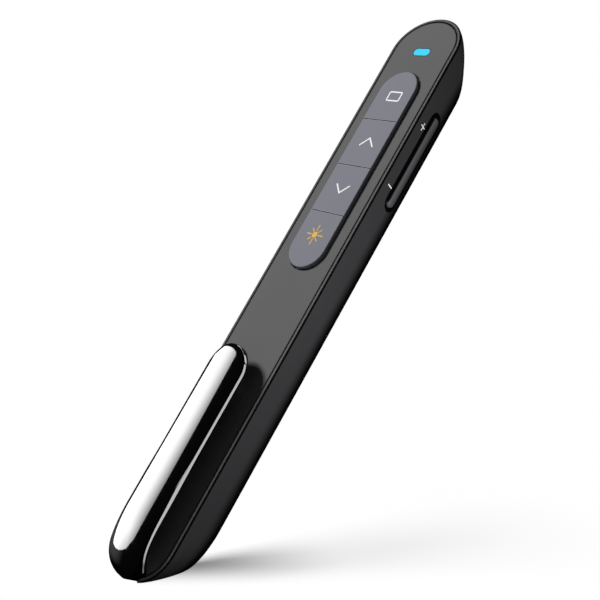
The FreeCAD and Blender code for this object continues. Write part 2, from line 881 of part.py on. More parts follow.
def make_clip_spring():
    spring = coil(clip_coil_pitch, clip_coil_width - clip_coil_wire, clip_coil_radius, clip_coil_wire / 2)
    spring.rotate(V(0, 0, 0), Y, 90)
    spring.translate(V(-(clip_coil_width - clip_coil_wire) / 2, clip_eye_y, clip_eye_z))
    return spring


# Laser

def make_laser_barrel():
    body = rod_y(barrel_radius, barrel_rear, barrel_front, 0, laser_z)
    bore = rod_y(barrel_bore, barrel_rear - overrun, barrel_front - barrel_lip, 0, laser_z)
    mouth = rod_y(barrel_lip_bore, barrel_rear, barrel_front + overrun, 0, laser_z)
    return body.cut(bore).cut(mouth)


def make_laser_lens():
    """Lens with a flat rear face and a domed front, turned about its axis."""
    rear = barrel_front - barrel_lip - lens_thickness
    edge_front = rear + lens_thickness * lens_edge_share
    tip = rear + lens_thickness
    radius = barrel_bore - lens_fit
    sag = tip - edge_front
    dome_radius = (radius ** 2 + sag ** 2) / (2 * sag)
    middle_y = tip - dome_radius + math.sqrt(dome_radius ** 2 - (radius / 2) ** 2)
    low = V(0, rear, laser_z)
    corner = V(radius, rear, laser_z)
    edge = V(radius, edge_front, laser_z)
    top = V(0, tip, laser_z)
    dome = Part.Arc(edge, V(radius / 2, middle_y, laser_z), top).toShape()
    wire = Part.Wire([Part.makeLine(low, corner), Part.makeLine(corner, edge), dome, Part.makeLine(top, low)])
    return Part.Face(wire).revolve(low, Y, 360)


def make_laser_diode():
    rear = barrel_rear + diode_setback
    flange = rod_y(diode_flange_radius, rear, rear + diode_flange_thickness, 0, laser_z)
    can = rod_y(diode_can_radius, rear, rear + diode_flange_thickness + diode_can_length, 0, laser_z)
    pins = []
    pin_rear = barrel_rear - driver_gap + driver_thickness / 2
    for side in (-1, 1):
        pins.append(rod_y(diode_pin_radius, pin_rear, rear + diode_flange_thickness / 2,
                          side * diode_pin_offset, laser_z))
    return flange.multiFuse([can] + pins).removeSplitter()


def driver_rear_y():
    return barrel_rear - driver_gap - driver_thickness / 2


def make_laser_driver_board():
    rear = driver_rear_y()
    board = box(-driver_width / 2, driver_width / 2, rear, rear + driver_thickness,
                laser_z - driver_height / 2, laser_z + driver_height / 2)
    for side in (-1, 1):
        board = board.cut(rod_y(diode_pin_radius + seat_gap, rear - overrun, rear + overrun,
                                side * diode_pin_offset, laser_z))
    return board


def make_laser_leads():
    """Two stiff leads from the driver board up to the main board."""
    y = driver_rear_y() - laser_lead_radius
    low = laser_z + laser_lead_foot
    return Part.makeCompound([rod_z(laser_lead_radius, low, board_bottom, side * diode_pin_offset, y)
                              for side in (-1, 1)])


def make_laser_window():
    return rod_y(window_radius, window_rear + seat_gap, window_rear + seat_gap + window_thickness, 0, laser_z)


# Battery

def lead_z():
    return board_top + lead_radius + lead_gap


def make_battery_cell():
    z = cell_axis_z
    rear = cell_rear_y
    front = cell_front_y
    radius = cell_radius - sleeve_thickness
    can = rod_y(radius, rear, front - cell_nub_length, 0, z)
    can = fillet_where(can, cell_edge, lambda point, edge: edge.Length > 2 * radius)
    nub = rod_y(cell_nub_radius, front - cell_nub_length - cell_edge, front, 0, z)
    return can.fuse(nub).removeSplitter()


def make_battery_sleeve():
    z = cell_axis_z
    rear = cell_rear_y + cell_edge
    front = cell_front_y - cell_nub_length - cell_edge
    tube = rod_y(cell_radius, rear, front, 0, z)
    return tube.cut(rod_y(cell_radius - sleeve_thickness, rear - overrun, front + overrun, 0, z))


def make_battery_contact():
    rear = cell_front_y + contact_gap
    half_x = contact_width / 2
    plate = box(-half_x, half_x, rear, rear + contact_thickness, contact_low, contact_high)
    return plate


def make_battery_spring():
    z = cell_axis_z
    front = bulkhead_rear_y + contact_thickness
    half_x = contact_width / 2
    plate = box(-half_x, half_x, front - contact_thickness, front, contact_low, contact_high)
    ear_low = contact_high - contact_thickness * 2
    ear = box(0, lead_x + lead_radius, front - contact_thickness, front, ear_low, lead_z() + lead_radius)
    height = spring_length - spring_wire
    spring = coil(height / spring_turns, height, spring_base_radius, spring_wire / 2, spring_cone_angle)
    spring.rotate(V(0, 0, 0), X, -90)
    spring.translate(V(0, front + spring_wire / 2 - seat_gap, z))
    return plate.multiFuse([ear, spring])


def make_battery_lead():
    rear = bulkhead_rear_y + contact_thickness
    return rod_y(lead_radius, rear, board_rear + 2 * lead_radius, lead_x, lead_z())


def make_battery_door(outer):
    cavity = body_form(wall, wall, tail_block, panel_bottom)
    door = outer.cut(cavity).common(door_block(-door_gap))
    rib_out = door_width / 2 - door_rib_inset
    ribs = []
    for side in (-1, 1):
        x0, x1 = sorted((side * rib_out, side * (rib_out - door_rib_width)))
        ribs.append(box(x0, x1, door_rear + door_rib_end_gap, door_front - door_rib_end_gap, 0, door_rib_top))
    for rib in ribs:
        door = door.fuse(rib.common(outer))
    door = door.cut(rod_y(cell_radius + cell_floor_gap, door_rear - overrun, door_front + overrun,
                          0, cell_axis_z))
    for step in range(door_grip_count):
        y = door_front - door_grip_inset + step * door_grip_pitch
        door = door.cut(box_at(0, y, door_grip_length, door_grip_width, -overrun, door_grip_depth))
    return door.removeSplitter()


# Receiver

def receiver_plug_rear():
    return bay_rear + receiver_gap + receiver_cap_length


def plug_bottom():
    return receiver_bottom + (receiver_height - plug_height) / 2


def make_receiver_cap():
    rear = bay_rear + receiver_gap
    half_x = receiver_width / 2
    cap = box(-half_x, half_x, rear, rear + receiver_cap_length,
              receiver_bottom, receiver_bottom + receiver_height)
    return cap.makeFillet(receiver_edge, cap.Edges)


def make_receiver_plug():
    rear = receiver_plug_rear()
    half_x = plug_width / 2
    low = plug_bottom()
    shell = box(-half_x, half_x, rear, rear + plug_length, low, low + plug_height)
    hollow = box(-half_x + plug_wall, half_x - plug_wall, rear + plug_wall, rear + plug_length + overrun,
                 low + plug_wall, low + plug_height - plug_wall)
    shell = shell.cut(hollow)
    hole_y = rear + plug_length - plug_hole_front
    for side in (-1, 1):
        hole = box_at(side * plug_hole_offset, hole_y, plug_hole_width, plug_hole_length,
                      low - overrun, low + plug_height / 2)
        shell = shell.cut(hole)
    return shell


def tongue_bottom():
    return plug_bottom() + plug_height - plug_wall - tongue_height


def make_receiver_tongue():
    rear = receiver_plug_rear() + plug_wall
    half_x = tongue_width / 2
    return box(-half_x, half_x, rear, rear + tongue_length, tongue_bottom(), tongue_bottom() + tongue_height)


def make_receiver_contacts():
    front = receiver_plug_rear() + plug_wall + tongue_length - contact_thickness
    group = []
    for step in range(usb_contact_count):
        x = (step - (usb_contact_count - 1) / 2) * usb_contact_pitch
        low = tongue_bottom() - usb_contact_thickness
        group.append(box(x - usb_contact_width / 2, x + usb_contact_width / 2,
                         front - usb_contact_length, front, low, tongue_bottom()))
    return Part.makeCompound(group)


def bay_ceiling():
    return receiver_bottom + receiver_height + receiver_gap + bay_wall


def make_receiver_magnet():
    y = receiver_plug_rear() + plug_length / 2
    return rod_z(magnet_radius, bay_ceiling(), bay_ceiling() + magnet_height, 0, y)


# Parts on the main board

def under_board(place, length_x, length_y, height, x=0.0):
    """Block under the board; place is its distance from the board's rear edge."""
    return box_at(x, board_rear + place, length_x, length_y, board_bottom - height, board_bottom)


def make_board_passives():
    group = []
    for step in range(passive_count):
        place = passive_place + step * passive_pitch
        side = -1 if step % 2 else 1
        group.append(under_board(place, passive_width, passive_length, passive_height,
                                 side * passive_length))
    return Part.makeCompound(group)


def make_antenna():
    """Folded copper strip on the front of the board, ahead of the status light."""
    half_span = antenna_span / 2
    top = board_top + antenna_height
    front = board_front - antenna_edge_gap
    bar = box(-half_span, half_span, front - antenna_width, front, board_top, top)
    legs = [bar]
    for step in range(2):
        x = half_span - antenna_width - step * antenna_pitch
        legs.append(box(x, x + antenna_width, front - antenna_width - antenna_bar, front, board_top, top))
    return legs[0].multiFuse(legs[1:]).removeSplitter()


def build():
    outer = outer_form()
    pieces = {
        "bottom_shell": make_bottom_shell(outer),
        "top_panel": make_top_panel(),
        "main_board": make_main_board(),
        "key_switches": make_key_switches(),
        "status_light_window": make_light_window(),
        "status_led": make_status_led(),
        "case_screws": make_case_screws(),
        "volume_rocker": make_volume_rocker(),
        "rocker_pin": make_rocker_pin(),
        "volume_switches": make_volume_switches(),
        "power_slider": make_power_slider(),
        "power_switch": make_power_switch(),
        "power_switch_lever": make_power_lever(),
        "clip": make_clip(outer),
        "clip_pin": make_clip_pin(),
        "clip_spring": make_clip_spring(),
        "laser_barrel": make_laser_barrel(),
        "laser_lens": make_laser_lens(),
        "laser_diode": make_laser_diode(),
        "laser_driver_board": make_laser_driver_board(),
        "laser_leads": make_laser_leads(),
        "laser_window": make_laser_window(),
        "battery_cell": make_battery_cell(),
        "battery_sleeve": make_battery_sleeve(),
        "battery_contact": make_battery_contact(),
        "battery_spring": make_battery_spring(),
        "battery_lead": make_battery_lead(),
        "battery_door": make_battery_door(outer),
        "usb_receiver_cap": make_receiver_cap(),
        "usb_receiver_plug": make_receiver_plug(),
        "usb_receiver_tongue": make_receiver_tongue(),
        "usb_receiver_contacts": make_receiver_contacts(),
        "receiver_magnet": make_receiver_magnet(),
        "radio_chip": under_board(chip_place, chip_size, chip_size, chip_height, chip_x),
        "crystal": under_board(crystal_place, crystal_width, crystal_length, crystal_height),
        "power_converter": under_board(converter_place, converter_size, converter_size, converter_height),
        "board_passives": make_board_passives(),
        "antenna": make_antenna(),
    }
    for name, (rear, front) in zip(key_names, key_spans()):
        pieces[name] = make_key(rear, front)
    return pieces


os.makedirs("parts", exist_ok=True)
for node, shape in build().items():
    print(node, len(shape.Solids), "solids", round(shape.Volume, 3), "mm3", "valid", shape.isValid())
    shape.exportStep("parts/" + node + ".step")
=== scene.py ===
import json
import math

import bmesh
import bpy
from bpy.props import FloatProperty, FloatVectorProperty, IntProperty, PointerProperty
from mathutils import Matrix, Vector


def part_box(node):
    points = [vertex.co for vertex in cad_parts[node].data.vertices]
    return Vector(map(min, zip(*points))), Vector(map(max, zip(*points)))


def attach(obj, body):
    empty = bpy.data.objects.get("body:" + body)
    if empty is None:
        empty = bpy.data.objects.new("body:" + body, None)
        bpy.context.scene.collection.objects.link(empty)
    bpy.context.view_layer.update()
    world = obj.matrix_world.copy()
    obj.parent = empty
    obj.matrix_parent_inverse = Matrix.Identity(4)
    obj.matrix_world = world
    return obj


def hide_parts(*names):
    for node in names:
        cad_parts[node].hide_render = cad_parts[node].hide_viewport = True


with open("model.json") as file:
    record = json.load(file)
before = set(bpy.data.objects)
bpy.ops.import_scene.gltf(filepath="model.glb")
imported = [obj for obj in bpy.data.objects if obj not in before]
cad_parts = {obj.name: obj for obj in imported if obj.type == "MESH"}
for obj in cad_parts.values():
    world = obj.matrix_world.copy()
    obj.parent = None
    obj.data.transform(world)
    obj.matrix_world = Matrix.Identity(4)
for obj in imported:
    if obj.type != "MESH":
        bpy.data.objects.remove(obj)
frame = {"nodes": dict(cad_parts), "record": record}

bl_info = {
    "name": "Presentation clicker",
    "version": (1, 0, 0),
    "blender": (4, 5, 0),
    "location": "View3D > Sidebar > Clicker",
    "description": "Dresses the packed clicker: finishes, printed signs, glossy pocket clip and studio",
    "category": "Object",
}

MM = 0.001
MERGE, DEGENERATE = 0.0005 * MM, 0.0002 * MM
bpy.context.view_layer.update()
SLOT_COLOURS = {m["slot"]: m["base_color"] for m in frame["record"]["materials"]}
SLOT_OF_NODE = {part["node"]: part["material_slot"] for part in frame["record"]["subparts"]}


def slot_colour(slot):
    """Colour of a record slot, with its alpha."""
    return tuple(SLOT_COLOURS[slot]) + (1.0,)


# Settings that a user would change

class ClickerFinish(bpy.types.PropertyGroup):
    """Colours and gloss of the visible surfaces."""
    shell: FloatVectorProperty(name="Tub", description="Colour of the black tub", subtype="COLOR",
                               size=4, default=slot_colour("shell_black"))
    panel: FloatVectorProperty(name="Panel", description="Colour of the top plate", subtype="COLOR",
                               size=4, default=slot_colour("panel_grey"))
    keys: FloatVectorProperty(name="Keys", description="Colour of the four keys", subtype="COLOR",
                              size=4, default=(0.228, 0.231, 0.266, 1.0))
    clip: FloatVectorProperty(name="Clip", description="Colour of the glossy pocket clip", subtype="COLOR",
                              size=4, default=(0.0025, 0.0025, 0.003, 1.0))
    light: FloatVectorProperty(name="Status light", description="Colour of the lit bar", subtype="COLOR",
                               size=4, default=slot_colour("light_cyan"))
    # Painted light: the rim's grey top stands for the key light on the upward rim of the black tub.
    rim: FloatVectorProperty(name="Rim", description="Colour of the tub's rim round the plate",
                             subtype="COLOR", size=4, default=(0.12, 0.12, 0.121, 1.0))
    ink: FloatVectorProperty(name="White ink", description="Colour of the white signs", subtype="COLOR",
                             size=4, default=(0.97, 0.97, 0.99, 1.0))
    sun: FloatVectorProperty(name="Orange ink", description="Colour of the sun sign", subtype="COLOR",
                             size=4, default=(0.80, 0.50, 0.11, 1.0))
    grain: FloatProperty(name="Mould grain", description="Width of one grain of the moulded texture",
                         unit="LENGTH", default=0.22 * MM, min=0.02 * MM, precision=6)
    grain_depth: FloatProperty(name="Grain depth", description="Depth of the moulded texture",
                               unit="LENGTH", default=0.006 * MM, min=0.0, precision=7)
    # Painted shade: a near-black band on the rounded edge just under the rim top.
    rim_shade_height: FloatProperty(name="Rim edge", description="Height of the deep black edge under the rim",
                            unit="LENGTH", default=0.45 * MM, min=0.0, precision=6)
    # Painted shade: the near-black ring round the rocker slot stands for the shade in the gap round the
    # rocker.
    slot_shade_width: FloatProperty(name="Slot edge",
                             description="Width of the deep black edge round the rocker slot",
                             unit="LENGTH", default=0.5 * MM, min=0.0, precision=6)
    edge_width: FloatProperty(name="Edge wear width", description="How far the polish of the edges reaches",
                              unit="LENGTH", default=0.16 * MM, min=0.0, precision=6)


class ClickerSigns(bpy.types.PropertyGroup):
    """Sizes of the printed signs."""
    line: FloatProperty(name="Line", description="Width of a printed line", unit="LENGTH",
                        default=0.36 * MM, precision=6)
    thickness: FloatProperty(name="Ink", description="How far the ink stands proud", unit="LENGTH",
                             default=0.02 * MM, precision=6)
    screen_width: FloatProperty(name="Screen sign width", description="Width of the screen outline",
                                unit="LENGTH", default=4.1 * MM, precision=6)
    screen_height: FloatProperty(name="Screen sign height", description="Height of the screen outline",
                                 unit="LENGTH", default=2.75 * MM, precision=6)
    arrow_width: FloatProperty(name="Arrow width", description="Distance between an arrow's two ends",
                               unit="LENGTH", default=4.0 * MM, precision=6)
    arrow_height: FloatProperty(name="Arrow height", description="Distance from an arrow's tip to its ends",
                                unit="LENGTH", default=2.1 * MM, precision=6)
    sun_radius: FloatProperty(name="Sun disc radius", description="Radius of the sun's disc",
                              unit="LENGTH", default=0.78 * MM, precision=6)
    sun_rays: IntProperty(name="Sun rays", description="Number of rays round the sun", default=8, min=4)


class ClickerClip(bpy.types.PropertyGroup):
    """Form of the pocket clip."""
    wall_inset: FloatProperty(name="Wall inset",
                              description="How far the wall steps in above its bright edge",
                              unit="LENGTH", default=0.36 * MM, precision=6)
    edge_band: FloatProperty(name="Edge band", description="Height of the slanted band round the clip",
                             unit="LENGTH", default=0.62 * MM, precision=6)
    edge_drop: FloatProperty(name="Edge drop",
                             description="Depth of the band's middle under the crown's edge",
                             unit="LENGTH", default=0.36 * MM, precision=6)
    edge_fall: FloatProperty(name="Edge fall", description="How fast the band runs down the tail",
                             default=0.13, min=0.0)
    edge_round: FloatProperty(name="Edge round", description="Width of the rounded upper edge",
                              unit="LENGTH", default=0.45 * MM, precision=6)
    tip_round: FloatProperty(name="Tip round", description="Width of the rounded edge at the clip's tip",
                             unit="LENGTH", default=1.8 * MM, precision=6)
    rings: IntProperty(name="Rings", description="Rings of faces from the middle line to the edge",
                       default=26, min=8)


class ClickerStage(bpy.types.PropertyGroup):
    """Camera, lamps and floor."""
    lens: FloatProperty(name="Lens", description="Focal length on a 36 mm sensor", default=53.59,
                        subtype="DISTANCE_CAMERA")
    key_power: FloatProperty(name="Key lamp", description="Power of the main lamp", subtype="POWER",
                             default=8.2)
    side_power: FloatProperty(name="Side lamp",
                              description="Power of the lamp beside the tub", subtype="POWER",
                              default=0.114)
    under_power: FloatProperty(name="Lower lamp", description="Power of the lamp under the tub",
                               subtype="POWER", default=0.5)
    shadow_power: FloatProperty(name="Floor lamp", description="Power of the lamp that lights the floor",
                                subtype="POWER", default=11.8)
    ambient: FloatProperty(name="Ambient", description="Level of the even light from all round",
                           subtype="FACTOR", default=0.038, min=0.0, max=1.0)
    card_glow: FloatProperty(name="Clip card", description="Brightness of the card mirrored by the clip",
                             default=16.0)
    wall_glow: FloatProperty(name="Wall card",
                             description="Brightness of the card mirrored by the clip's wall",
                             default=12.0)
    floor_lean: FloatProperty(name="Floor lean", description="Lean of the floor towards the camera",
                              subtype="ANGLE", default=math.radians(6))


# Mesh helpers

def new_mesh(name, verts, faces):
    mesh = bpy.data.meshes.new(name)
    mesh.from_pydata([tuple(v) for v in verts], [], faces)
    return mesh


def new_object(name, data):
    obj = bpy.data.objects.new(name, data)
    bpy.context.scene.collection.objects.link(obj)
    return obj


def piece(name, verts, faces, body, material, sharp=35.0):
    """Makes a mesh object from points in metres, smooth except at sharp edges, and lets it ride."""
    mesh = new_mesh(name, verts, faces)
    mesh.validate()
    tidy_mesh(mesh, sharp)
    obj = new_object(name, mesh)
    mesh.materials.append(material)
    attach(obj, body)
    return obj


def tidy_mesh(mesh, sharp):
    """Merges doubles, turns the faces outwards and keeps only sharp edges hard."""
    work = bmesh.new()
    work.from_mesh(mesh)
    bmesh.ops.remove_doubles(work, verts=work.verts, dist=MERGE)
    bmesh.ops.dissolve_degenerate(work, dist=DEGENERATE, edges=work.edges)
    bmesh.ops.recalc_face_normals(work, faces=work.faces)
    work.to_mesh(mesh)
    work.free()
    mesh.shade_smooth()
    mesh.set_sharp_from_angle(angle=math.radians(sharp))
    mesh.update()


def combine(target, tool, operation):
    """Joins or subtracts a closed mesh, and removes the tool."""
    modifier = target.modifiers.new("combine", "BOOLEAN")
    modifier.operation = operation
    modifier.solver = "EXACT"
    modifier.object = tool
    bpy.context.view_layer.update()
    result = bpy.data.meshes.new_from_object(target.evaluated_get(bpy.context.evaluated_depsgraph_get()))
    target.modifiers.remove(modifier)
    old = target.data
    result.name = old.name
    target.data = result
    bpy.data.meshes.remove(old)
    bpy.data.meshes.remove(tool.data)


def scratch(name, verts, faces):
    """A closed mesh that is only used as a tool."""
    mesh = new_mesh(name, verts, faces)
    work = bmesh.new()
    work.from_mesh(mesh)
    bmesh.ops.remove_doubles(work, verts=work.verts, dist=MERGE)
    bmesh.ops.recalc_face_normals(work, faces=work.faces)
    work.to_mesh(mesh)
    work.free()
    return new_object(name, mesh)


def turned(profile, centre, axis, steps=48):
    """Faces of a turned form. The profile is radius and place along the axis, closed at both ends."""
    along = Vector(axis).normalized()
    across = along.orthogonal().normalized()
    other = along.cross(across)
    verts, faces = [], []
    for step in range(steps):
        angle = 2 * math.pi * step / steps
        out = across * math.cos(angle) + other * math.sin(angle)
        for radius, place in profile:
            verts.append(Vector(centre) + along * place + out * radius)
    count = len(profile)
    for step in range(steps):
        here, there = step * count, (step + 1) % steps * count
        for k in range(count - 1):
            faces.append((here + k, here + k + 1, there + k + 1, there + k))
    if profile[0] != profile[-1]:
        for k in (0, count - 1):
            faces.append(tuple(step * count + k for step in range(steps)))
    return verts, faces


# Node helpers and shared shader groups

def add(tree, kind, x=0, y=0, **values):
    """A new node at a place in the tree, with its settings."""
    node = tree.nodes.new(kind)
    node.location = (x, y)
    for key, value in values.items():
        setattr(node, key, value)
    return node


def maths(tree, operation, a, b=None, clamp=False):
    """Result of a maths node on two numbers or sockets."""
    node = add(tree, "ShaderNodeMath", operation=operation, use_clamp=clamp)
    for socket, value in zip(node.inputs, (a, b)):
        if value is None:
            continue
        if isinstance(value, (int, float)):
            socket.default_value = value
        else:
            tree.links.new(value, socket)
    return node.outputs[0]


def mix_colour(tree, factor, a, b):
    """Colour a where the factor is 0 and b where it is 1."""
    node = add(tree, "ShaderNodeMix", data_type="RGBA")
    for socket, value in ((node.inputs["Factor"], factor), (node.inputs[6], a), (node.inputs[7], b)):
        if isinstance(value, (int, float, tuple)):
            socket.default_value = value
        else:
            tree.links.new(value, socket)
    return node.outputs[2]


def slope(tree, value, start, end, low, high, kind="SMOOTHSTEP"):
    """Smooth or even step of a value from low to high between two places."""
    ramp = add(tree, "ShaderNodeMapRange", interpolation_type=kind)
    for label, number in (("From Min", start), ("From Max", end), ("To Min", low), ("To Max", high)):
        ramp.inputs[label].default_value = number
    tree.links.new(value, ramp.inputs["Value"])
    return ramp.outputs["Result"]


def place_in_frame(tree, x, y):
    """Sockets with the X, Y and Z of a point in metres. Every piece sits at the origin."""
    place = add(tree, "ShaderNodeTexCoord", x, y)
    split = add(tree, "ShaderNodeSeparateXYZ", x + 200, y)
    tree.links.new(place.outputs["Object"], split.inputs[0])
    return [split.outputs[axis] for axis in "XYZ"]


def direct_rays(tree, x, y):
    """1 for a ray from the camera, a mirror or a clear piece, and 0 for any other."""
    path = add(tree, "ShaderNodeLightPath", x, y)
    direct = maths(tree, "MAXIMUM", path.outputs["Is Camera Ray"], path.outputs["Is Glossy Ray"])
    return maths(tree, "MAXIMUM", direct, path.outputs["Is Transmission Ray"])


def new_group(name, inputs, outputs):
    """An empty shader group. Inputs and outputs are name, socket type and default."""
    tree = bpy.data.node_groups.new(name, "ShaderNodeTree")
    for label, kind, default in inputs:
        socket = tree.interface.new_socket(label, in_out="INPUT", socket_type="NodeSocket" + kind)
        socket.default_value = default
    for label, kind in outputs:
        tree.interface.new_socket(label, in_out="OUTPUT", socket_type="NodeSocket" + kind)
    return tree, add(tree, "NodeGroupInput", -900, 0), add(tree, "NodeGroupOutput", 900, 0)


def mould_grain_group():
    """Fine spark-eroded grain: height, a slight change of tone and of roughness."""
    tree, given, out = new_group(
        "mould_grain",
        [("Colour", "Color", (0.5, 0.5, 0.5, 1)), ("Roughness", "Float", 0.5), ("Grain", "Float", 0.2 * MM),
         ("Tone", "Float", 0.1), ("Spread", "Float", 0.1)],
        [("Colour", "Color"), ("Roughness", "Float"), ("Height", "Float")])
    place = add(tree, "ShaderNodeTexCoord", -900, -300)
    scale = maths(tree, "DIVIDE", 1.0, given.outputs["Grain"])
    fine = add(tree, "ShaderNodeTexNoise", -500, -100)
    fine.inputs["Detail"].default_value = 3.0
    fine.inputs["Roughness"].default_value = 0.6
    tree.links.new(place.outputs["Object"], fine.inputs["Vector"])
    tree.links.new(scale, fine.inputs["Scale"])
    broad = add(tree, "ShaderNodeTexNoise", -500, -400)
    broad.inputs["Detail"].default_value = 2.0
    broad.inputs["Scale"].default_value = 90.0
    tree.links.new(place.outputs["Object"], broad.inputs["Vector"])
    centred = maths(tree, "SUBTRACT", fine.outputs["Fac"], 0.5)
    drift = maths(tree, "SUBTRACT", broad.outputs["Fac"], 0.5)
    tone = maths(tree, "MULTIPLY_ADD", centred, given.outputs["Tone"])
    tone.node.inputs[2].default_value = 1.0
    half_tone = maths(tree, "MULTIPLY", given.outputs["Tone"], 0.5)
    tone = maths(tree, "ADD", tone, maths(tree, "MULTIPLY", drift, half_tone))
    scaled = add(tree, "ShaderNodeVectorMath", operation="SCALE")
    tree.links.new(given.outputs["Colour"], scaled.inputs[0])
    tree.links.new(tone, scaled.inputs["Scale"])
    spread = maths(tree, "MULTIPLY", drift, given.outputs["Spread"])
    rough = maths(tree, "ADD", given.outputs["Roughness"], spread)
    rough = maths(tree, "ADD", rough, maths(tree, "MULTIPLY", centred, given.outputs["Spread"]), clamp=True)
    tree.links.new(scaled.outputs[0], out.inputs["Colour"])
    tree.links.new(rough, out.inputs["Roughness"])
    tree.links.new(fine.outputs["Fac"], out.inputs["Height"])
    return tree


EDGE_MASK_GAIN, PATCH_GAIN = 6.0, 1.8


def edge_wear_and_shading_group():
    """Edge colour from a mask of the bevelled normal, broken up by a noise: wear polished by the hand on most
    parts, painted shade on the panel's and rim's edges, and partly a painted highlight on the keys.
    """
    tree, given, out = new_group(
        "edge_wear_and_shading",
        [("Colour", "Color", (0.5, 0.5, 0.5, 1)), ("Worn Colour", "Color", (0.6, 0.6, 0.6, 1)),
         ("Roughness", "Float", 0.5), ("Worn Roughness", "Float", 0.3), ("Width", "Float", 0.2 * MM),
         ("Amount", "Float", 0.5)],
        [("Colour", "Color"), ("Roughness", "Float")])
    bevel = add(tree, "ShaderNodeBevel", -700, -300, samples=4)
    tree.links.new(given.outputs["Width"], bevel.inputs["Radius"])
    geometry = add(tree, "ShaderNodeNewGeometry", -700, -500)
    dot = add(tree, "ShaderNodeVectorMath", -500, -400, operation="DOT_PRODUCT")
    tree.links.new(bevel.outputs["Normal"], dot.inputs[0])
    tree.links.new(geometry.outputs["Normal"], dot.inputs[1])
    turn = maths(tree, "MULTIPLY", maths(tree, "SUBTRACT", 1.0, dot.outputs["Value"]), EDGE_MASK_GAIN,
                 clamp=True)
    place = add(tree, "ShaderNodeTexCoord", -900, -700)
    patches = add(tree, "ShaderNodeTexNoise", -500, -700)
    patches.inputs["Scale"].default_value = 700.0
    patches.inputs["Detail"].default_value = 4.0
    tree.links.new(place.outputs["Object"], patches.inputs["Vector"])
    broken = maths(tree, "MULTIPLY", turn, maths(tree, "MULTIPLY", patches.outputs["Fac"], PATCH_GAIN))
    mask = maths(tree, "MULTIPLY", broken, given.outputs["Amount"], clamp=True)
    colour = mix_colour(tree, mask, given.outputs["Colour"], given.outputs["Worn Colour"])
    step = maths(tree, "SUBTRACT", given.outputs["Worn Roughness"], given.outputs["Roughness"])
    rough = maths(tree, "ADD", given.outputs["Roughness"], maths(tree, "MULTIPLY", step, mask), clamp=True)
    tree.links.new(colour, out.inputs["Colour"])
    tree.links.new(rough, out.inputs["Roughness"])
    return tree


SMEAR_START, SMEAR_GAIN = 0.52, 4.0


def hand_marks_group():
    """Faint smears that change the gloss of a handled surface."""
    tree, given, out = new_group(
        "hand_marks",
        [("Roughness", "Float", 0.5), ("Amount", "Float", 0.1), ("Size", "Float", 9 * MM)],
        [("Roughness", "Float")])
    place = add(tree, "ShaderNodeTexCoord", -900, -300)
    smear = add(tree, "ShaderNodeTexNoise", -500, -100)
    smear.inputs["Detail"].default_value = 6.0
    smear.inputs["Distortion"].default_value = 1.2
    tree.links.new(place.outputs["Object"], smear.inputs["Vector"])
    tree.links.new(maths(tree, "DIVIDE", 1.0, given.outputs["Size"]), smear.inputs["Scale"])
    above = maths(tree, "SUBTRACT", smear.outputs["Fac"], SMEAR_START)
    smeared = maths(tree, "MULTIPLY", above, SMEAR_GAIN, clamp=True)
    lift = maths(tree, "MULTIPLY", smeared, given.outputs["Amount"])
    tree.links.new(maths(tree, "ADD", given.outputs["Roughness"], lift, clamp=True), out.inputs["Roughness"])
    return tree


def group(name):
    """The shared group of that name, built the first time it is asked for."""
    builders = {"mould_grain": mould_grain_group, "edge_wear_and_shading": edge_wear_and_shading_group,
                "hand_marks": hand_marks_group}
    return bpy.data.node_groups.get(name) or builders[name]()


def place_group(tree, name, x, y, **values):
    """A shared group in a material. A label's space is written as an underscore."""
    node = add(tree, "ShaderNodeGroup", x, y, node_tree=group(name))
    for label, value in values.items():
        socket = node.inputs[label.replace("_", " ")]
        if isinstance(value, (int, float, tuple)):
            socket.default_value = value
        else:
            tree.links.new(value, socket)
    return node


def bare_material(name):
    """A material without nodes, and its tree."""
    material = bpy.data.materials.new(name)
    material.use_nodes = True
    material.node_tree.nodes.clear()
    return material, material.node_tree


def new_material(name):
    """A material with a lone Principled shader and its output."""
    material, tree = bare_material(name)
    shader = add(tree, "ShaderNodeBsdfPrincipled", 300, 0)
    output = add(tree, "ShaderNodeOutputMaterial", 600, 0)
    tree.links.new(shader.outputs[0], output.inputs["Surface"])
    return material, tree, shader


def connect(tree, shader, colour, roughness, height, depth):
    """Links colour and roughness to a shader, and a height as a bump of the given depth."""
    bump = add(tree, "ShaderNodeBump", 0, -400)
    bump.inputs["Distance"].default_value = depth
    tree.links.new(height, bump.inputs["Height"])
    tree.links.new(bump.outputs["Normal"], shader.inputs["Normal"])
    tree.links.new(colour, shader.inputs["Base Color"])
    tree.links.new(roughness, shader.inputs["Roughness"])


def moulded(name, colour, roughness, edge_wear_and_shading_colour, tone=0.12, wear=0.5, edge=None):
    """Moulded plastic or rubber with grain, faint hand marks and a second colour at the edges: lighter wear
    on most parts, painted shade on the panel, wear with a painted highlight on the keys.
    """
    finish = bpy.context.scene.clicker_finish
    material, tree, shader = new_material(name)
    grain = place_group(tree, "mould_grain", -700, 0, Colour=tuple(colour), Roughness=roughness,
                        Grain=finish.grain, Tone=tone, Spread=0.1)
    edges = place_group(tree, "edge_wear_and_shading", -400, 0, Colour=grain.outputs["Colour"], Worn_Colour=tuple(edge_wear_and_shading_colour),
                        Roughness=grain.outputs["Roughness"], Worn_Roughness=roughness * 0.7,
                        Width=edge or finish.edge_width, Amount=wear)
    smears = place_group(tree, "hand_marks", -100, -200, Roughness=edges.outputs["Roughness"], Amount=0.05)
    connect(tree, shader, edges.outputs["Colour"], smears.outputs["Roughness"], grain.outputs["Height"],
            finish.grain_depth)
    return material


def lighter(colour, factor):
    """The colour times a factor, no brighter than white."""
    return tuple(min(1.0, c * factor) for c in colour[:3]) + (1.0,)


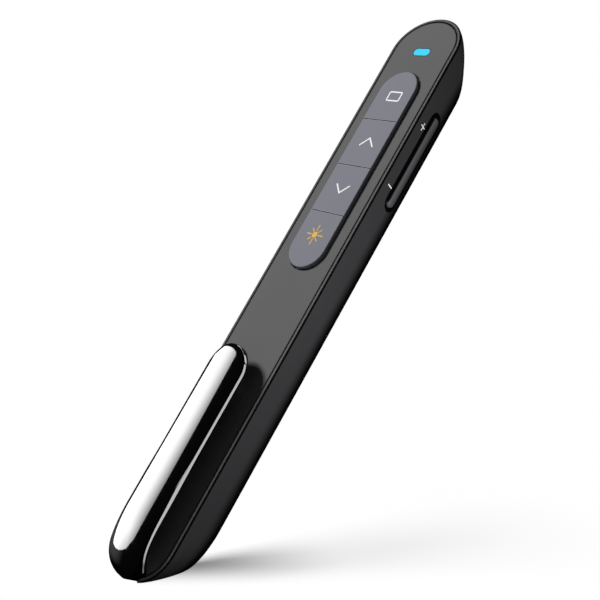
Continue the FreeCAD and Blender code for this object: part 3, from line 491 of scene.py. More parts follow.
def bar_distance(tree, along, across, long_side, short_side):
    """Distance from the middle line of a round-ended bar, given by its two extents, and its end radius."""
    radius = (short_side[1] - short_side[0]) / 2
    straight = (long_side[1] - long_side[0]) / 2 - radius
    beyond = maths(tree, "ABSOLUTE", maths(tree, "SUBTRACT", along, sum(long_side) / 2))
    beyond = maths(tree, "MAXIMUM", maths(tree, "SUBTRACT", beyond, straight), 0.0)
    aside = maths(tree, "SUBTRACT", across, sum(short_side) / 2)
    squares = maths(tree, "ADD", maths(tree, "MULTIPLY", beyond, beyond),
                    maths(tree, "MULTIPLY", aside, aside))
    return maths(tree, "SQRT", squares), radius


def painted(material):
    """Tree, shader and present colour of a material that is to be painted over in places."""
    tree = material.node_tree
    shader = next(node for node in tree.nodes if node.type == "BSDF_PRINCIPLED")
    return tree, shader, shader.inputs["Base Color"].links[0].from_socket


# Near-black used for painted shade on the tub and on the rocker.
SHADE_BLACK = (0.002, 0.002, 0.002, 1.0)
RIM_TOP = 13.97 * MM
# Painted shade: a near-black line of this width along the rim's edges, in the groove round the plate and at
# the rim's outer edge.
RIM_SHADE_LINE, RIM_SHADE_BLACK = 0.34 * MM, (0.004, 0.004, 0.004, 1.0)
SLOT_SIDE = 6.0 * MM
# Painted shade: the tub's side turns near-black from the second height down to the first, as the light falls
# off towards the underside.
TUB_SHADE_FULL_BELOW, TUB_SHADE_GONE_ABOVE = 3.4 * MM, 7.8 * MM


def tub_plastic():
    """Black satin tub with painted light on the grey rim round the plate, painted shade lines along the rim's
    edges, and painted shade under the rim, round the rocker slot and towards the underside.
    """
    finish = bpy.context.scene.clicker_finish
    material = moulded("tub_plastic", finish.shell, 0.42, lighter(finish.shell, 1.6), wear=0.3)
    tree, shader, colour = painted(material)
    x, y, z = place_in_frame(tree, -1500, -900)
    low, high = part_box("volume_rocker")
    distance, radius = bar_distance(tree, y, z, (low.y, high.y), (low.z, high.z))
    # Painted shade in the gap round the rocker slot, on the tub's side only.
    slot_shade = maths(tree, "LESS_THAN", distance, radius + finish.slot_shade_width)
    slot_shade = maths(tree, "MULTIPLY", slot_shade, maths(tree, "GREATER_THAN", x, SLOT_SIDE))
    # Painted shade on the rounded edge just under the rim top.
    shoulder = maths(tree, "GREATER_THAN", z, RIM_TOP - finish.rim_shade_height)
    dark = maths(tree, "MAXIMUM", slot_shade, shoulder)
    # Painted shade that deepens towards the underside.
    underside_shade = slope(tree, z, TUB_SHADE_FULL_BELOW, TUB_SHADE_GONE_ABOVE, 1.0, 0.0)
    colour = mix_colour(tree, maths(tree, "MAXIMUM", dark, underside_shade), colour, SHADE_BLACK)
    # Painted shade lines along both edges of the rim.
    rim = place_group(tree, "edge_wear_and_shading", -600, -700, Colour=tuple(finish.rim), Worn_Colour=RIM_SHADE_BLACK,
                      Width=RIM_SHADE_LINE, Amount=1.8)
    # Painted light: the rim top is grey as if lit, though the tub is black all over.
    colour = mix_colour(tree, maths(tree, "GREATER_THAN", z, RIM_TOP), colour, rim.outputs["Colour"])
    tree.links.new(colour, shader.inputs["Base Color"])
    return material


# Painted highlight and shade on the rocker: the highlight line lies this far under its top, the painted
# groove shade spans this height above it, and the upper end turns black between these two distances from it.
ROCKER_HIGHLIGHT_DROP, ROCKER_GROOVE_SHADE = 1.15 * MM, 0.35 * MM
ROCKER_END_SHADE = (1.3 * MM, 0.9 * MM)


def rocker_plastic():
    """Satin bar painted pale, with a painted highlight along the line where its crown starts, fading into
    painted shade below it, and painted shade in the groove above it and at its upper end.
    """
    shell = bpy.context.scene.clicker_finish.shell
    # The pale base colour is the peak of the painted highlight; the masks below darken it.
    material = moulded("rocker_plastic", lighter(shell, 2.6), 0.4, lighter(shell, 3.0), wear=0.4)
    tree, shader, colour = painted(material)
    y, z = place_in_frame(tree, -1500, -900)[1:]
    low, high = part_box("volume_rocker")
    crown = high.z - ROCKER_HIGHLIGHT_DROP
    shade_below_highlight = slope(tree, z, low.z, crown, 0.85, 0.0)
    groove = slope(tree, z, crown, crown + ROCKER_GROOVE_SHADE, 0.0, 1.0)
    end = slope(tree, y, high.y - ROCKER_END_SHADE[0], high.y - ROCKER_END_SHADE[1], 0.0, 1.0)
    dark = maths(tree, "MAXIMUM", maths(tree, "MAXIMUM", shade_below_highlight, groove), end)
    tree.links.new(mix_colour(tree, dark, colour, SHADE_BLACK), shader.inputs["Base Color"])
    return material


def clip_lacquer():
    """Black high-gloss lacquer with a very slight waviness and few hand marks."""
    finish = bpy.context.scene.clicker_finish
    material, tree, shader = new_material("clip_lacquer")
    grain = place_group(tree, "mould_grain", -700, 0, Colour=tuple(finish.clip), Roughness=0.045,
                        Grain=2.4 * MM, Tone=0.1, Spread=0.02)
    edges = place_group(tree, "edge_wear_and_shading", -400, 0, Colour=grain.outputs["Colour"],
                        Worn_Colour=lighter(finish.clip, 2.0), Roughness=grain.outputs["Roughness"],
                        Worn_Roughness=0.12, Width=0.1 * MM, Amount=0.4)
    smears = place_group(tree, "hand_marks", -100, -200, Roughness=edges.outputs["Roughness"], Amount=0.03)
    connect(tree, shader, edges.outputs["Colour"], smears.outputs["Roughness"], grain.outputs["Height"],
            0.0015 * MM)
    return material


def metal(name, colour, roughness, brushed=0.0):
    """Bright or brushed metal with a fine grain and polished edges."""
    material, tree, shader = new_material(name)
    grain = place_group(tree, "mould_grain", -700, 0, Colour=tuple(colour), Roughness=roughness,
                        Grain=0.12 * MM, Tone=0.15, Spread=0.15 + brushed)
    edges = place_group(tree, "edge_wear_and_shading", -400, 0, Colour=grain.outputs["Colour"],
                        Worn_Colour=lighter(colour, 1.2), Roughness=grain.outputs["Roughness"],
                        Worn_Roughness=roughness * 0.6, Width=0.08 * MM, Amount=0.6)
    connect(tree, shader, edges.outputs["Colour"], edges.outputs["Roughness"], grain.outputs["Height"],
            0.003 * MM)
    shader.inputs["Metallic"].default_value = 1.0
    return material


LIGHT_EDGE, LIGHT_EDGE_COLOUR = (0.3 * MM, 0.12 * MM), (0.01, 0.16, 0.26, 1.0)


def lit_bar():
    """Frosted bar lit from behind, a little darker towards its outline."""
    finish = bpy.context.scene.clicker_finish
    material, tree, shader = new_material("lit_bar")
    grain = place_group(tree, "mould_grain", -700, 0, Colour=tuple(finish.light), Roughness=0.3,
                        Grain=0.15 * MM, Tone=0.08, Spread=0.1)
    x, y = place_in_frame(tree, -1300, -400)[:2]
    low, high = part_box("status_light_window")
    distance, radius = bar_distance(tree, x, y, (low.x, high.x), (low.y, high.y))
    outline = slope(tree, distance, radius - LIGHT_EDGE[0], radius - LIGHT_EDGE[1], 0.0, 1.0)
    colour = mix_colour(tree, outline, grain.outputs["Colour"], LIGHT_EDGE_COLOUR)
    tree.links.new(colour, shader.inputs["Base Color"])
    tree.links.new(colour, shader.inputs["Emission Color"])
    tree.links.new(grain.outputs["Roughness"], shader.inputs["Roughness"])
    shader.inputs["Emission Strength"].default_value = 0.12
    return material


def board_laminate():
    """Green solder mask over faint copper runs."""
    material, tree, shader = new_material("board_laminate")
    base = slot_colour("board_green")
    place = add(tree, "ShaderNodeTexCoord", -1100, 200)
    runs = add(tree, "ShaderNodeTexBrick", -900, 200)
    runs.inputs["Scale"].default_value = 420.0
    runs.inputs["Mortar Size"].default_value = 0.06
    runs.inputs["Mortar Smooth"].default_value = 0.3
    runs.inputs["Color1"].default_value = base
    runs.inputs["Color2"].default_value = lighter(base, 0.85)
    runs.inputs["Mortar"].default_value = lighter(base, 1.9)
    tree.links.new(place.outputs["Object"], runs.inputs["Vector"])
    grain = place_group(tree, "mould_grain", -600, 0, Colour=runs.outputs["Color"], Roughness=0.35,
                        Grain=0.3 * MM, Tone=0.1, Spread=0.1)
    connect(tree, shader, grain.outputs["Colour"], grain.outputs["Roughness"], runs.outputs["Fac"], 0.02 * MM)
    return material


def clear_lens():
    """Clear moulded lens."""
    material, tree, shader = new_material("clear_lens")
    grain = place_group(tree, "mould_grain", -600, 0, Colour=slot_colour("lens_glass"), Roughness=0.03,
                        Grain=0.6 * MM, Tone=0.02, Spread=0.02)
    tree.links.new(grain.outputs["Colour"], shader.inputs["Base Color"])
    tree.links.new(grain.outputs["Roughness"], shader.inputs["Roughness"])
    shader.inputs["Transmission Weight"].default_value = 0.92
    shader.inputs["IOR"].default_value = 1.49
    return material


CELL_BAND_SHARE, CELL_BAND_COLOUR = 0.22, (0.45, 0.2, 0.06, 1.0)


def cell_film():
    """Shrunk film round the cell: grey with a copper band at its plus end, no words."""
    grey = slot_colour("sleeve_grey")
    material = moulded("cell_film", grey, 0.28, lighter(grey, 1.4))
    tree, shader, colour = painted(material)
    y = place_in_frame(tree, -900, -700)[1]
    low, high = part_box("battery_sleeve")
    band = maths(tree, "GREATER_THAN", y, high.y - CELL_BAND_SHARE * (high.y - low.y))
    tree.links.new(mix_colour(tree, band, colour, CELL_BAND_COLOUR), shader.inputs["Base Color"])
    return material


def finish_for(slot):
    """The material of a record slot, built once."""
    finish = bpy.context.scene.clicker_finish
    made = bpy.data.materials.get("finish_" + slot)
    if made:
        return made
    builders = {
        "shell_black": tub_plastic,
        # The panel's near-black edge colour is painted shade in the grooves round the plate and round the key
        # openings.
        "panel_grey": lambda: moulded("panel_plastic", finish.panel, 0.55, lighter(finish.panel, 0.08),
                                      wear=2.2, edge=0.42 * MM),
        # The keys' lighter edges are partly wear and partly a painted highlight.
        "key_grey": lambda: moulded("key_rubber", finish.keys, 0.6, lighter(finish.keys, 1.75),
                                    wear=1.0, tone=0.08, edge=0.26 * MM),
        "clip_black": clip_lacquer,
        "light_cyan": lit_bar,
        "board_green": board_laminate,
        "chip_black": lambda: moulded("chip_epoxy", slot_colour("chip_black"), 0.6, (0.05, 0.05, 0.05, 1)),
        "white_plastic": lambda: moulded("white_nylon", slot_colour("white_plastic"), 0.45,
                                         (0.8, 0.8, 0.76, 1)),
        "steel": lambda: metal("drawn_steel", slot_colour("steel"), 0.32, 0.1),
        "plated_steel": lambda: metal("nickel_plate", slot_colour("plated_steel"), 0.16),
        "brass": lambda: metal("turned_brass", slot_colour("brass"), 0.24, 0.1),
        "gold_contact": lambda: metal("gold_plate", slot_colour("gold_contact"), 0.2),
        "lens_glass": clear_lens,
        "sleeve_grey": cell_film,
        "lead_red": lambda: moulded("lead_sleeve", slot_colour("lead_red"), 0.4, (0.6, 0.1, 0.1, 1)),
    }
    material = builders[slot]()
    material.name = "finish_" + slot
    return material


def ink(name, colour):
    """Printed ink: an even colour with the slight roughness of screen print."""
    made = bpy.data.materials.get(name)
    if made:
        return made
    material, tree, shader = new_material(name)
    grain = place_group(tree, "mould_grain", -600, 0, Colour=tuple(colour), Roughness=0.55,
                        Grain=0.1 * MM, Tone=0.08, Spread=0.1)
    connect(tree, shader, grain.outputs["Colour"], grain.outputs["Roughness"], grain.outputs["Height"],
            0.002 * MM)
    return material


def dress(*nodes):
    """Gives CAD nodes the material of their record slot."""
    for name in nodes:
        obj = frame["nodes"][name]
        slot = SLOT_OF_NODE[name]
        obj.data.materials.clear()
        obj.data.materials.append(finish_for(slot))


# Printed signs

def stroke(points, width, round_steps=5):
    """Outline of an open line with round ends and a mitred corner."""
    half = width / 2
    sides = {1: [], -1: []}
    count = len(points)
    for k, point in enumerate(points):
        here = Vector(point)
        before = (here - Vector(points[k - 1])).normalized() if k else None
        after = (Vector(points[k + 1]) - here).normalized() if k < count - 1 else None
        if before and after:
            normal = Vector((-(before + after).y, (before + after).x)).normalized()
            reach = half / max(0.2, normal.dot(Vector((-before.y, before.x))))
        else:
            line = after or before
            normal = Vector((-line.y, line.x))
            reach = half
        for side in sides:
            sides[side].append(here + normal * reach * side)
    outline = list(sides[1])
    for centre, start in ((Vector(points[-1]), outline[-1]), (Vector(points[0]), sides[-1][0])):
        arm = start - centre
        for step in range(1, round_steps):
            angle = -math.pi * step / round_steps
            turn = Matrix.Rotation(angle, 2)
            outline.append(centre + turn @ arm)
        if centre == Vector(points[-1]):
            outline.extend(reversed(sides[-1]))
    return outline


def print_sign(name, outlines, origin, across, up, body, material):
    """Raises flat outlines in the plane of across and up into thin ink, sunk a hair into the surface."""
    signs = bpy.context.scene.clicker_signs
    normal = Vector(across).cross(Vector(up)).normalized()
    across, up, origin = Vector(across).normalized(), Vector(up).normalized(), Vector(origin)
    verts, faces = [], []
    for outline in outlines:
        hollow = isinstance(outline, tuple)
        loops = list(outline) if hollow else [outline]
        base = len(verts)
        sizes = [len(loop) for loop in loops]
        for lift in (-signs.thickness, signs.thickness):
            for loop in loops:
                verts.extend(origin + across * p[0] + up * p[1] + normal * lift for p in loop)
        layer = sum(sizes)
        start = base
        for size in sizes:
            for k in range(size):
                after = (k + 1) % size
                faces.append((start + k, start + after, start + after + layer, start + k + layer))
            start += size
        for level in (0, layer):
            if hollow:
                size = sizes[0]
                for k in range(size):
                    after = (k + 1) % size
                    faces.append((base + level + k, base + level + after,
                                  base + level + size + after, base + level + size + k))
            else:
                faces.append(tuple(base + level + k for k in range(sizes[0])))
    return piece(name, verts, faces, body, material, sharp=30)


def rounded_loop(width, height, radius, steps=6):
    """Points round a rectangle with rounded corners."""
    loop = []
    for quarter, (sx, sy) in enumerate(((1, 1), (-1, 1), (-1, -1), (1, -1))):
        centre = Vector((sx * (width / 2 - radius), sy * (height / 2 - radius)))
        for step in range(steps + 1):
            angle = math.pi / 2 * (quarter + step / steps)
            loop.append(centre + Vector((math.cos(angle), math.sin(angle))) * radius)
    return loop


SCREEN_CORNER = 0.5 * MM
SUN_STEPS, SUN_RAY_START, SUN_RAY_ENDS, SUN_RAY_LINE = 32, 1.42, (3.2, 2.6), 0.28 * MM


def screen_outline():
    """A rounded frame, as an outer and an inner loop."""
    signs = bpy.context.scene.clicker_signs
    outer = rounded_loop(signs.screen_width, signs.screen_height, SCREEN_CORNER)
    inner = rounded_loop(signs.screen_width - 2 * signs.line, signs.screen_height - 2 * signs.line,
                         SCREEN_CORNER - signs.line)
    return [(outer, inner)]


def arrow_outline(direction):
    """An open arrow that points to the nose for 1 and to the tail for -1."""
    signs = bpy.context.scene.clicker_signs
    half, drop = signs.arrow_width / 2, signs.arrow_height / 2
    tip = drop * direction
    return [stroke([(-half, -tip), (0, tip), (half, -tip)], signs.line)]


def sun_outlines():
    """A disc and its rays, by turns long and short."""
    signs = bpy.context.scene.clicker_signs
    radius = signs.sun_radius
    turns = [2 * math.pi * k / SUN_STEPS for k in range(SUN_STEPS)]
    outlines = [[Vector((math.cos(turn), math.sin(turn))) * radius for turn in turns]]
    for ray in range(signs.sun_rays):
        angle = 2 * math.pi * ray / signs.sun_rays
        out = Vector((math.cos(angle), math.sin(angle)))
        ends = (tuple(out * radius * reach) for reach in (SUN_RAY_START, SUN_RAY_ENDS[ray % 2]))
        outlines.append(stroke(list(ends), SUN_RAY_LINE, 4))
    return outlines


# The pocket clip

CLIP_HALF, CLIP_TIP, CLIP_TAIL = 5.9 * MM, -18.72 * MM, -73.0 * MM
CLIP_TIP_LENGTH = CLIP_HALF * 1.05
CROWN, CROWN_RADIUS, UNDERSIDE = 19.2 * MM, 23.0 * MM, 17.6 * MM
BEND_START, BEND_LENGTH, BEND_DROP = -58.9 * MM, 14.1 * MM, 5.1 * MM
INNER_START, INNER_LENGTH, INNER_DROP, INNER_CURVE = -58.0 * MM, 12.7 * MM, 8.0 * MM, 2.3
CLIP_FOOT = 9.2 * MM
SHOULDER, SIDE_SLOPE = 13.75 * MM, 0.2322
TAIL_RISE, TAIL_POWER, TAIL_ROUND_GROWTH, BODY_HALF = 5.9 * MM, 1.4, 1.2, 10.0 * MM
ARC_STEPS, SIDE_STEPS, EDGE_STEPS, FOOT_STEPS, INNER_STEPS = 48, 40, 9, 8, 32
# LEAN, FALL and NARROW say where the bright band sinks and thins, INSET how far the wall steps in, APART and
# JOINED where the step parts from the crown's edge, INNER the hollow and BUMP the grip.
INSET_LEAST, INSET_MEAN, INSET_SIDE, INSET_REAR = 0.08, 0.62, 0.38, 0.6
LEAN_START, LEAN_LENGTH, LEAN_SHARE = -43.0 * MM, 11.0 * MM, 0.6
FALL_START, FALL_LENGTH, FALL_POWER = -60.0 * MM, 5.17 * MM, 4.2
NARROW_START, NARROW_LENGTH, NARROW_SHARE = -52.0 * MM, 11.0 * MM, 0.42
APART_SHARE, APART_LENGTH, APART_LIP = 1.1, 0.12 * MM, 0.08 * MM
BAND_LOWEST, WALL_FOOT, BAND_CORNER, JOINED_SHARE = 1.6 * MM, 0.8 * MM, 0.1 * MM, 0.4
INNER_HALF, INNER_LOWEST = 12.0 * MM, 4.0 * MM
BUMP_Y, BUMP_Z, BUMP_RADIUS, BUMP_ROOT, BUMP_STEPS = -27.0 * MM, 16.3 * MM, 2.0 * MM, 0.3 * MM, 16


def crown_height(x, y):
    """Height of the clip's crowned top, level over the panel and bent down at the tail."""
    sag = CROWN_RADIUS - math.sqrt(CROWN_RADIUS ** 2 - x * x)
    if y >= BEND_START:
        return CROWN - sag
    share = min(1.0, (BEND_START - y) / max(BEND_LENGTH - sag, 1e-6))
    return CROWN - BEND_DROP + (BEND_DROP - sag) * math.sqrt(1 - share * share)


def tail_face(x, z):
    """Rear surface of the body at height z, which the clip's foot lies flush with."""
    depth = max(SHOULDER - z, 0) / SHOULDER
    half = BODY_HALF - (SHOULDER - z) * SIDE_SLOPE
    rear = CLIP_TAIL + TAIL_RISE * depth ** TAIL_POWER
    return rear + half * (1 + TAIL_ROUND_GROWTH * depth) * (1 - math.sqrt(1 - min(x / half, 1) ** 2))


def clip_outline():
    """Points round the clip in plan, each with the point of the middle line that it shrinks to."""
    tip_base, tail_base = CLIP_TIP - CLIP_TIP_LENGTH, CLIP_TAIL + CLIP_HALF
    sides = [tip_base + (tail_base - tip_base) * step / SIDE_STEPS for step in range(1, SIDE_STEPS)]
    points = []
    for base, length, half_turn, side in ((tip_base, CLIP_TIP_LENGTH, 0, -CLIP_HALF),
                                          (tail_base, CLIP_HALF, 1, CLIP_HALF)):
        for step in range(ARC_STEPS + 1):
            angle = math.pi * (half_turn + step / ARC_STEPS)
            points.append((Vector((CLIP_HALF * math.cos(angle), base + length * math.sin(angle))),
                           Vector((0, base))))
        points += [(Vector((side, y)), Vector((0, y))) for y in (sides if side < 0 else reversed(sides))]
    return points


def past(y, start, length):
    """How far y has come from start towards the tail, from 0 to 1 over a length."""
    return min(1.0, max(0.0, (start - y) / length))


def band_depth(y):
    """Depth of the bright band under the crown's edge. It runs down the wall at the tail."""
    form = bpy.context.scene.clicker_clip
    behind = max(0.0, FALL_START - y) / FALL_LENGTH
    return (form.edge_drop * (1 + LEAN_SHARE * past(y, LEAN_START, LEAN_LENGTH))
            + form.edge_fall * MM * behind ** FALL_POWER)


def rounded_corners(points, size):
    """Open line with each inner corner cut by a short curve."""
    line = [points[0]]
    for before, here, after in zip(points, points[1:], points[2:]):
        arms = [end - here for end in (before, after)]
        start, end = (here + arm * min(0.45, size / max(arm.length, 1e-9)) for arm in arms)
        line += [start, (start + 2 * here + end) / 4, end]
    return line + [points[-1]]


def clip_rings():
    """Rings of points from the middle line over the crown, down the wall and over its bright band."""
    form = bpy.context.scene.clicker_clip
    rings = []
    for full, spine in clip_outline():
        reach = (full - spine).length
        out = (full - spine) / reach
        behind_bend = spine.y < BEND_START
        narrow = 1 - NARROW_SHARE * past(full.y, NARROW_START, NARROW_LENGTH)
        rearward = min(0.0, out.y) if behind_bend else 0.0
        share = max(INSET_LEAST, INSET_MEAN + INSET_SIDE * out.x + INSET_REAR * rearward)
        inset = form.wall_inset * share * narrow
        band = form.edge_band * narrow
        depth = band_depth(full.y) + (form.edge_band - band) / 2
        apart = min(1.0, max(0.0, (band_depth(full.y) - APART_SHARE * form.edge_drop) / APART_LENGTH))
        forward = 0.0 if behind_bend else max(0.0, out.y) ** 2
        rounding = (form.edge_round + (form.tip_round - form.edge_round) * forward) * (1 - apart)
        edge = spine + out * (reach - inset)
        start = edge - out * rounding
        profile = []
        for k in range(form.rings):
            flat = spine + (start - spine) * math.sin(math.pi / 2 * k / form.rings)
            profile.append(Vector((flat.x, flat.y, crown_height(flat.x, flat.y))))
        start = Vector((start.x, start.y, crown_height(start.x, start.y)))
        corner = Vector((edge.x, edge.y, crown_height(edge.x, edge.y)))
        middle = max(corner.z - depth, CLIP_FOOT + BAND_LOWEST)
        band_foot = Vector((full.x, full.y, middle - band / 2))
        band_top = Vector((edge.x, edge.y, middle + band / 2))
        joined = corner + (band_foot - corner) * JOINED_SHARE
        fall = joined.lerp(corner - Vector((0, 0, APART_LIP)), apart)
        band_top = joined.lerp(band_top, apart)
        for k in range(EDGE_STEPS):
            t = k / (EDGE_STEPS - 1)
            profile.append(start * (1 - t) ** 2 + corner * 2 * t * (1 - t) + fall * t * t)
        wall = Vector((full.x, full.y, CLIP_FOOT + WALL_FOOT))
        profile += rounded_corners([fall, band_top, band_foot, wall], BAND_CORNER)[1:]
        for k in range(1, FOOT_STEPS + 1):
            profile.append(Vector((full.x, full.y, wall.z + (CLIP_FOOT - wall.z) * k / FOOT_STEPS)))
        for point in profile:
            if point.z < SHOULDER:
                point.y = max(point.y, tail_face(point.x, point.z))
        rings.append(profile)
    return [list(ring) for ring in zip(*rings)]


def clip_body():
    """Closed outer form of the clip, filled down to its foot."""
    rings = clip_rings()
    count = len(rings[0])
    verts = [point for ring in rings for point in ring]
    faces = []
    for level in range(len(rings) - 1):
        for k in range(count):
            after = (k + 1) % count
            faces.append((level * count + k, level * count + after,
                          (level + 1) * count + after, (level + 1) * count + k))
    faces.append(tuple((len(rings) - 1) * count + k for k in range(count)))
    return scratch("clip_gloss", verts, faces)


def prism_x(points, half):
    """Closed prism along X from a profile in Y and Z."""
    count = len(points)
    verts = [(side * half, y, z) for side in (-1, 1) for y, z in points]
    faces = [(k, (k + 1) % count, (k + 1) % count + count, k + count) for k in range(count)]
    faces += [tuple(range(count)), tuple(range(count, 2 * count))]
    return verts, faces


def build_clip():
    """The outer form, hollowed by the inner curve, with the bump that grips the cloth."""
    clip = clip_body()
    turns = [math.pi / 2 * k / INNER_STEPS for k in range(INNER_STEPS + 1)]
    power = 2 / INNER_CURVE
    profile = [(INNER_START - INNER_LENGTH * math.sin(turn) ** power,
                UNDERSIDE - INNER_DROP + INNER_DROP * max(0.0, math.cos(turn)) ** power) for turn in turns]
    profile += [(INNER_START - INNER_LENGTH, INNER_LOWEST), (0, INNER_LOWEST), (0, UNDERSIDE)]
    combine(clip, scratch("inside", *prism_x(profile, INNER_HALF)), "DIFFERENCE")
    root = UNDERSIDE - BUMP_Z + BUMP_ROOT
    turns = [math.pi / 2 * k / BUMP_STEPS for k in range(BUMP_STEPS)]
    dome = [(0.0, root), (BUMP_RADIUS, root)]
    dome += [(BUMP_RADIUS * math.cos(turn), -BUMP_RADIUS * math.sin(turn)) for turn in turns]
    dome.append((0.0, -BUMP_RADIUS))
    combine(clip, scratch("bump", *turned(dome, (0, BUMP_Y, BUMP_Z), (0, 0, 1))), "UNION")
    return clip


def finish_clip(clip):
    """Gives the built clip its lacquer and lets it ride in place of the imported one."""
    mesh = clip.data
    mesh.name = clip.name = "clip_gloss"
    mesh.materials.clear()
    mesh.materials.append(finish_for("clip_black"))
    tidy_mesh(mesh, 32)
    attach(clip, "pocket_clip")
    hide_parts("clip")


# Operators

class PieceOperator:
    """Shared options of the operators that make a piece."""
    bl_options = {"REGISTER", "UNDO"}


class CLICKER_OT_tub(PieceOperator, bpy.types.Operator):
    """Finishes the tub, the screws in its underside and the battery door"""
    bl_idname = "clicker.tub"
    bl_label = "Tub, door and screws"

    def execute(self, context):
        dress("bottom_shell", "battery_door", "case_screws")
        return {"FINISHED"}


class CLICKER_OT_panel(PieceOperator, bpy.types.Operator):
    """Finishes the top plate, the lit bar and the light under it"""
    bl_idname = "clicker.panel"
    bl_label = "Top plate and status light"

    def execute(self, context):
        dress("top_panel", "status_light_window", "status_led")
        return {"FINISHED"}


class CLICKER_OT_keys(PieceOperator, bpy.types.Operator):
    """Finishes the four keys and prints their signs"""
    bl_idname = "clicker.keys"
    bl_label = "Keys and their signs"

    def execute(self, context):
        finish = context.scene.clicker_finish
        dress("key_laser", "key_page_down", "key_page_up", "key_screen")
        white = ink("white_ink", finish.ink)
        orange = ink("orange_ink", finish.sun)
        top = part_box("key_screen")[1].z
        for name, outlines, x, y, body, colour in (
                ("sign_screen", screen_outline(), 0.35, 49.75, "screen_key", white),
                ("sign_page_up", arrow_outline(1), 0.2, 36.95, "page_up_key", white),
                ("sign_page_down", arrow_outline(-1), 0.2, 24.0, "page_down_key", white),
                ("sign_sun", sun_outlines(), 0.1, 11.65, "laser_key", orange)):
            print_sign(name, outlines, (x * MM, y * MM, top), (1, 0, 0), (0, 1, 0), body,
                       colour)
        return {"FINISHED"}


class CLICKER_OT_rocker(PieceOperator, bpy.types.Operator):
    """Finishes the volume rocker with its pin and switches and prints its plus and minus"""
    bl_idname = "clicker.rocker"
    bl_label = "Volume rocker and its signs"

    def execute(self, context):
        dress("volume_rocker", "rocker_pin", "volume_switches")
        frame["nodes"]["volume_rocker"].data.materials[0] = rocker_plastic()
        white = ink("white_ink", context.scene.clicker_finish.ink)
        up = Vector((SIDE_SLOPE, 0, 1)).normalized()
        line, arm = 0.25 * MM, 0.9 * MM
        minus = [stroke([(0, -arm), (0, arm)], line)]
        plus = [stroke([(-arm, 0), (arm, 0)], line)] + minus
        for name, outlines, y, z in (("sign_plus", plus, 45.1, 10.7), ("sign_minus", minus, 28.95, 10.65)):
            x = BODY_HALF - (SHOULDER - z * MM) * SIDE_SLOPE
            print_sign(name, outlines, (x, y * MM, z * MM), (0, 1, 0), up, "case", white)
        return {"FINISHED"}


class CLICKER_OT_slider(PieceOperator, bpy.types.Operator):
    """Finishes the power slider, its lever and its switch"""
    bl_idname = "clicker.slider"
    bl_label = "Power slider"

    def execute(self, context):
        dress("power_slider", "power_switch_lever", "power_switch")
        return {"FINISHED"}


class CLICKER_OT_clip(PieceOperator, bpy.types.Operator):
    """Builds the glossy pocket clip with its crowned top, stepped wall and bent tail"""
    bl_idname = "clicker.clip"
    bl_label = "Pocket clip"

    def execute(self, context):
        dress("clip_pin", "clip_spring", "clip")
        finish_clip(build_clip())
        return {"FINISHED"}


class CLICKER_OT_battery(PieceOperator, bpy.types.Operator):
    """Finishes the cell, its film, spring, contact and lead"""
    bl_idname = "clicker.battery"
    bl_label = "Battery"

    def execute(self, context):
        dress("battery_cell", "battery_sleeve", "battery_contact", "battery_spring", "battery_lead")
        return {"FINISHED"}


class CLICKER_OT_receiver(PieceOperator, bpy.types.Operator):
    """Finishes the stowed receiver and the magnet that holds it"""
    bl_idname = "clicker.receiver"
    bl_label = "Receiver"

    def execute(self, context):
        dress("usb_receiver_cap", "usb_receiver_plug", "usb_receiver_tongue", "usb_receiver_contacts",
              "receiver_magnet")
        return {"FINISHED"}


class CLICKER_OT_board(PieceOperator, bpy.types.Operator):
    """Finishes the main board and the parts on it"""
    bl_idname = "clicker.board"
    bl_label = "Main board"

    def execute(self, context):
        dress("main_board", "key_switches", "radio_chip", "crystal", "power_converter", "board_passives",
              "antenna")
        return {"FINISHED"}


class CLICKER_OT_laser(PieceOperator, bpy.types.Operator):
    """Finishes the laser module behind the hole in the nose"""
    bl_idname = "clicker.laser"
    bl_label = "Laser"

    def execute(self, context):
        dress("laser_barrel", "laser_lens", "laser_diode", "laser_driver_board", "laser_leads",
              "laser_window")
        return {"FINISHED"}


# Stage

CAMERA_PLACE = Vector((146.21, -37.47, 145.37)) * MM
CAMERA_RIGHT = Vector((0.6569, 0.4841, -0.5781))
CAMERA_DOWN = Vector((0.2257, -0.8578, -0.4619))
CAMERA_AHEAD = Vector((-0.7194, 0.173, -0.6727))
PANEL_CENTRE = Vector((0, 0, 14)) * MM
SENSOR, PICTURE, HALF_PIXEL = 36.0, 600, 0.5
KEY_LAMP_WAY, LAMP_DISTANCE, KEY_LAMP_SIZE = Vector((-0.66, 0.30, 0.72)), 0.8, 0.22
SIDE_LAMP, SIDE_TARGET, SIDE_LAMP_SIZE = (0.097, 0.0, 0.026), (0.01, 0.0, 0.007), 0.05
LOWER_LAMP, LOWER_LAMP_SIZE = Vector((0.12, 0.1, -0.7)), 0.5
FLOOR_LAMP_RIGHT, FLOOR_LAMP_DEEP, FLOOR_LAMP_SIZE = 1.2, 0.36, 0.38
FLOOR_HALF, FLOOR_STEPS, FLOOR_GAP = 1.6, 8, 0.02 * MM


def make_camera():
    """The camera fitted to the photo, moved by half a pixel."""
    stage = bpy.context.scene.clicker_stage
    data = bpy.data.cameras.new("photo_camera")
    camera = new_object("photo_camera", data)
    turn = Matrix((CAMERA_RIGHT, -CAMERA_DOWN, -CAMERA_AHEAD)).transposed().to_4x4()
    camera.matrix_world = Matrix.Translation(CAMERA_PLACE) @ turn
    data.sensor_width = SENSOR
    data.lens = stage.lens
    data.shift_x, data.shift_y = -HALF_PIXEL / PICTURE, HALF_PIXEL / PICTURE
    data.clip_start, data.clip_end = 0.01, 20.0
    bpy.context.scene.camera = camera


def aim(place, target):
    """Matrix of an object at place whose -Z looks at target."""
    turn = (Vector(target) - Vector(place)).to_track_quat("-Z", "Y").to_matrix().to_4x4()
    return Matrix.Translation(place) @ turn


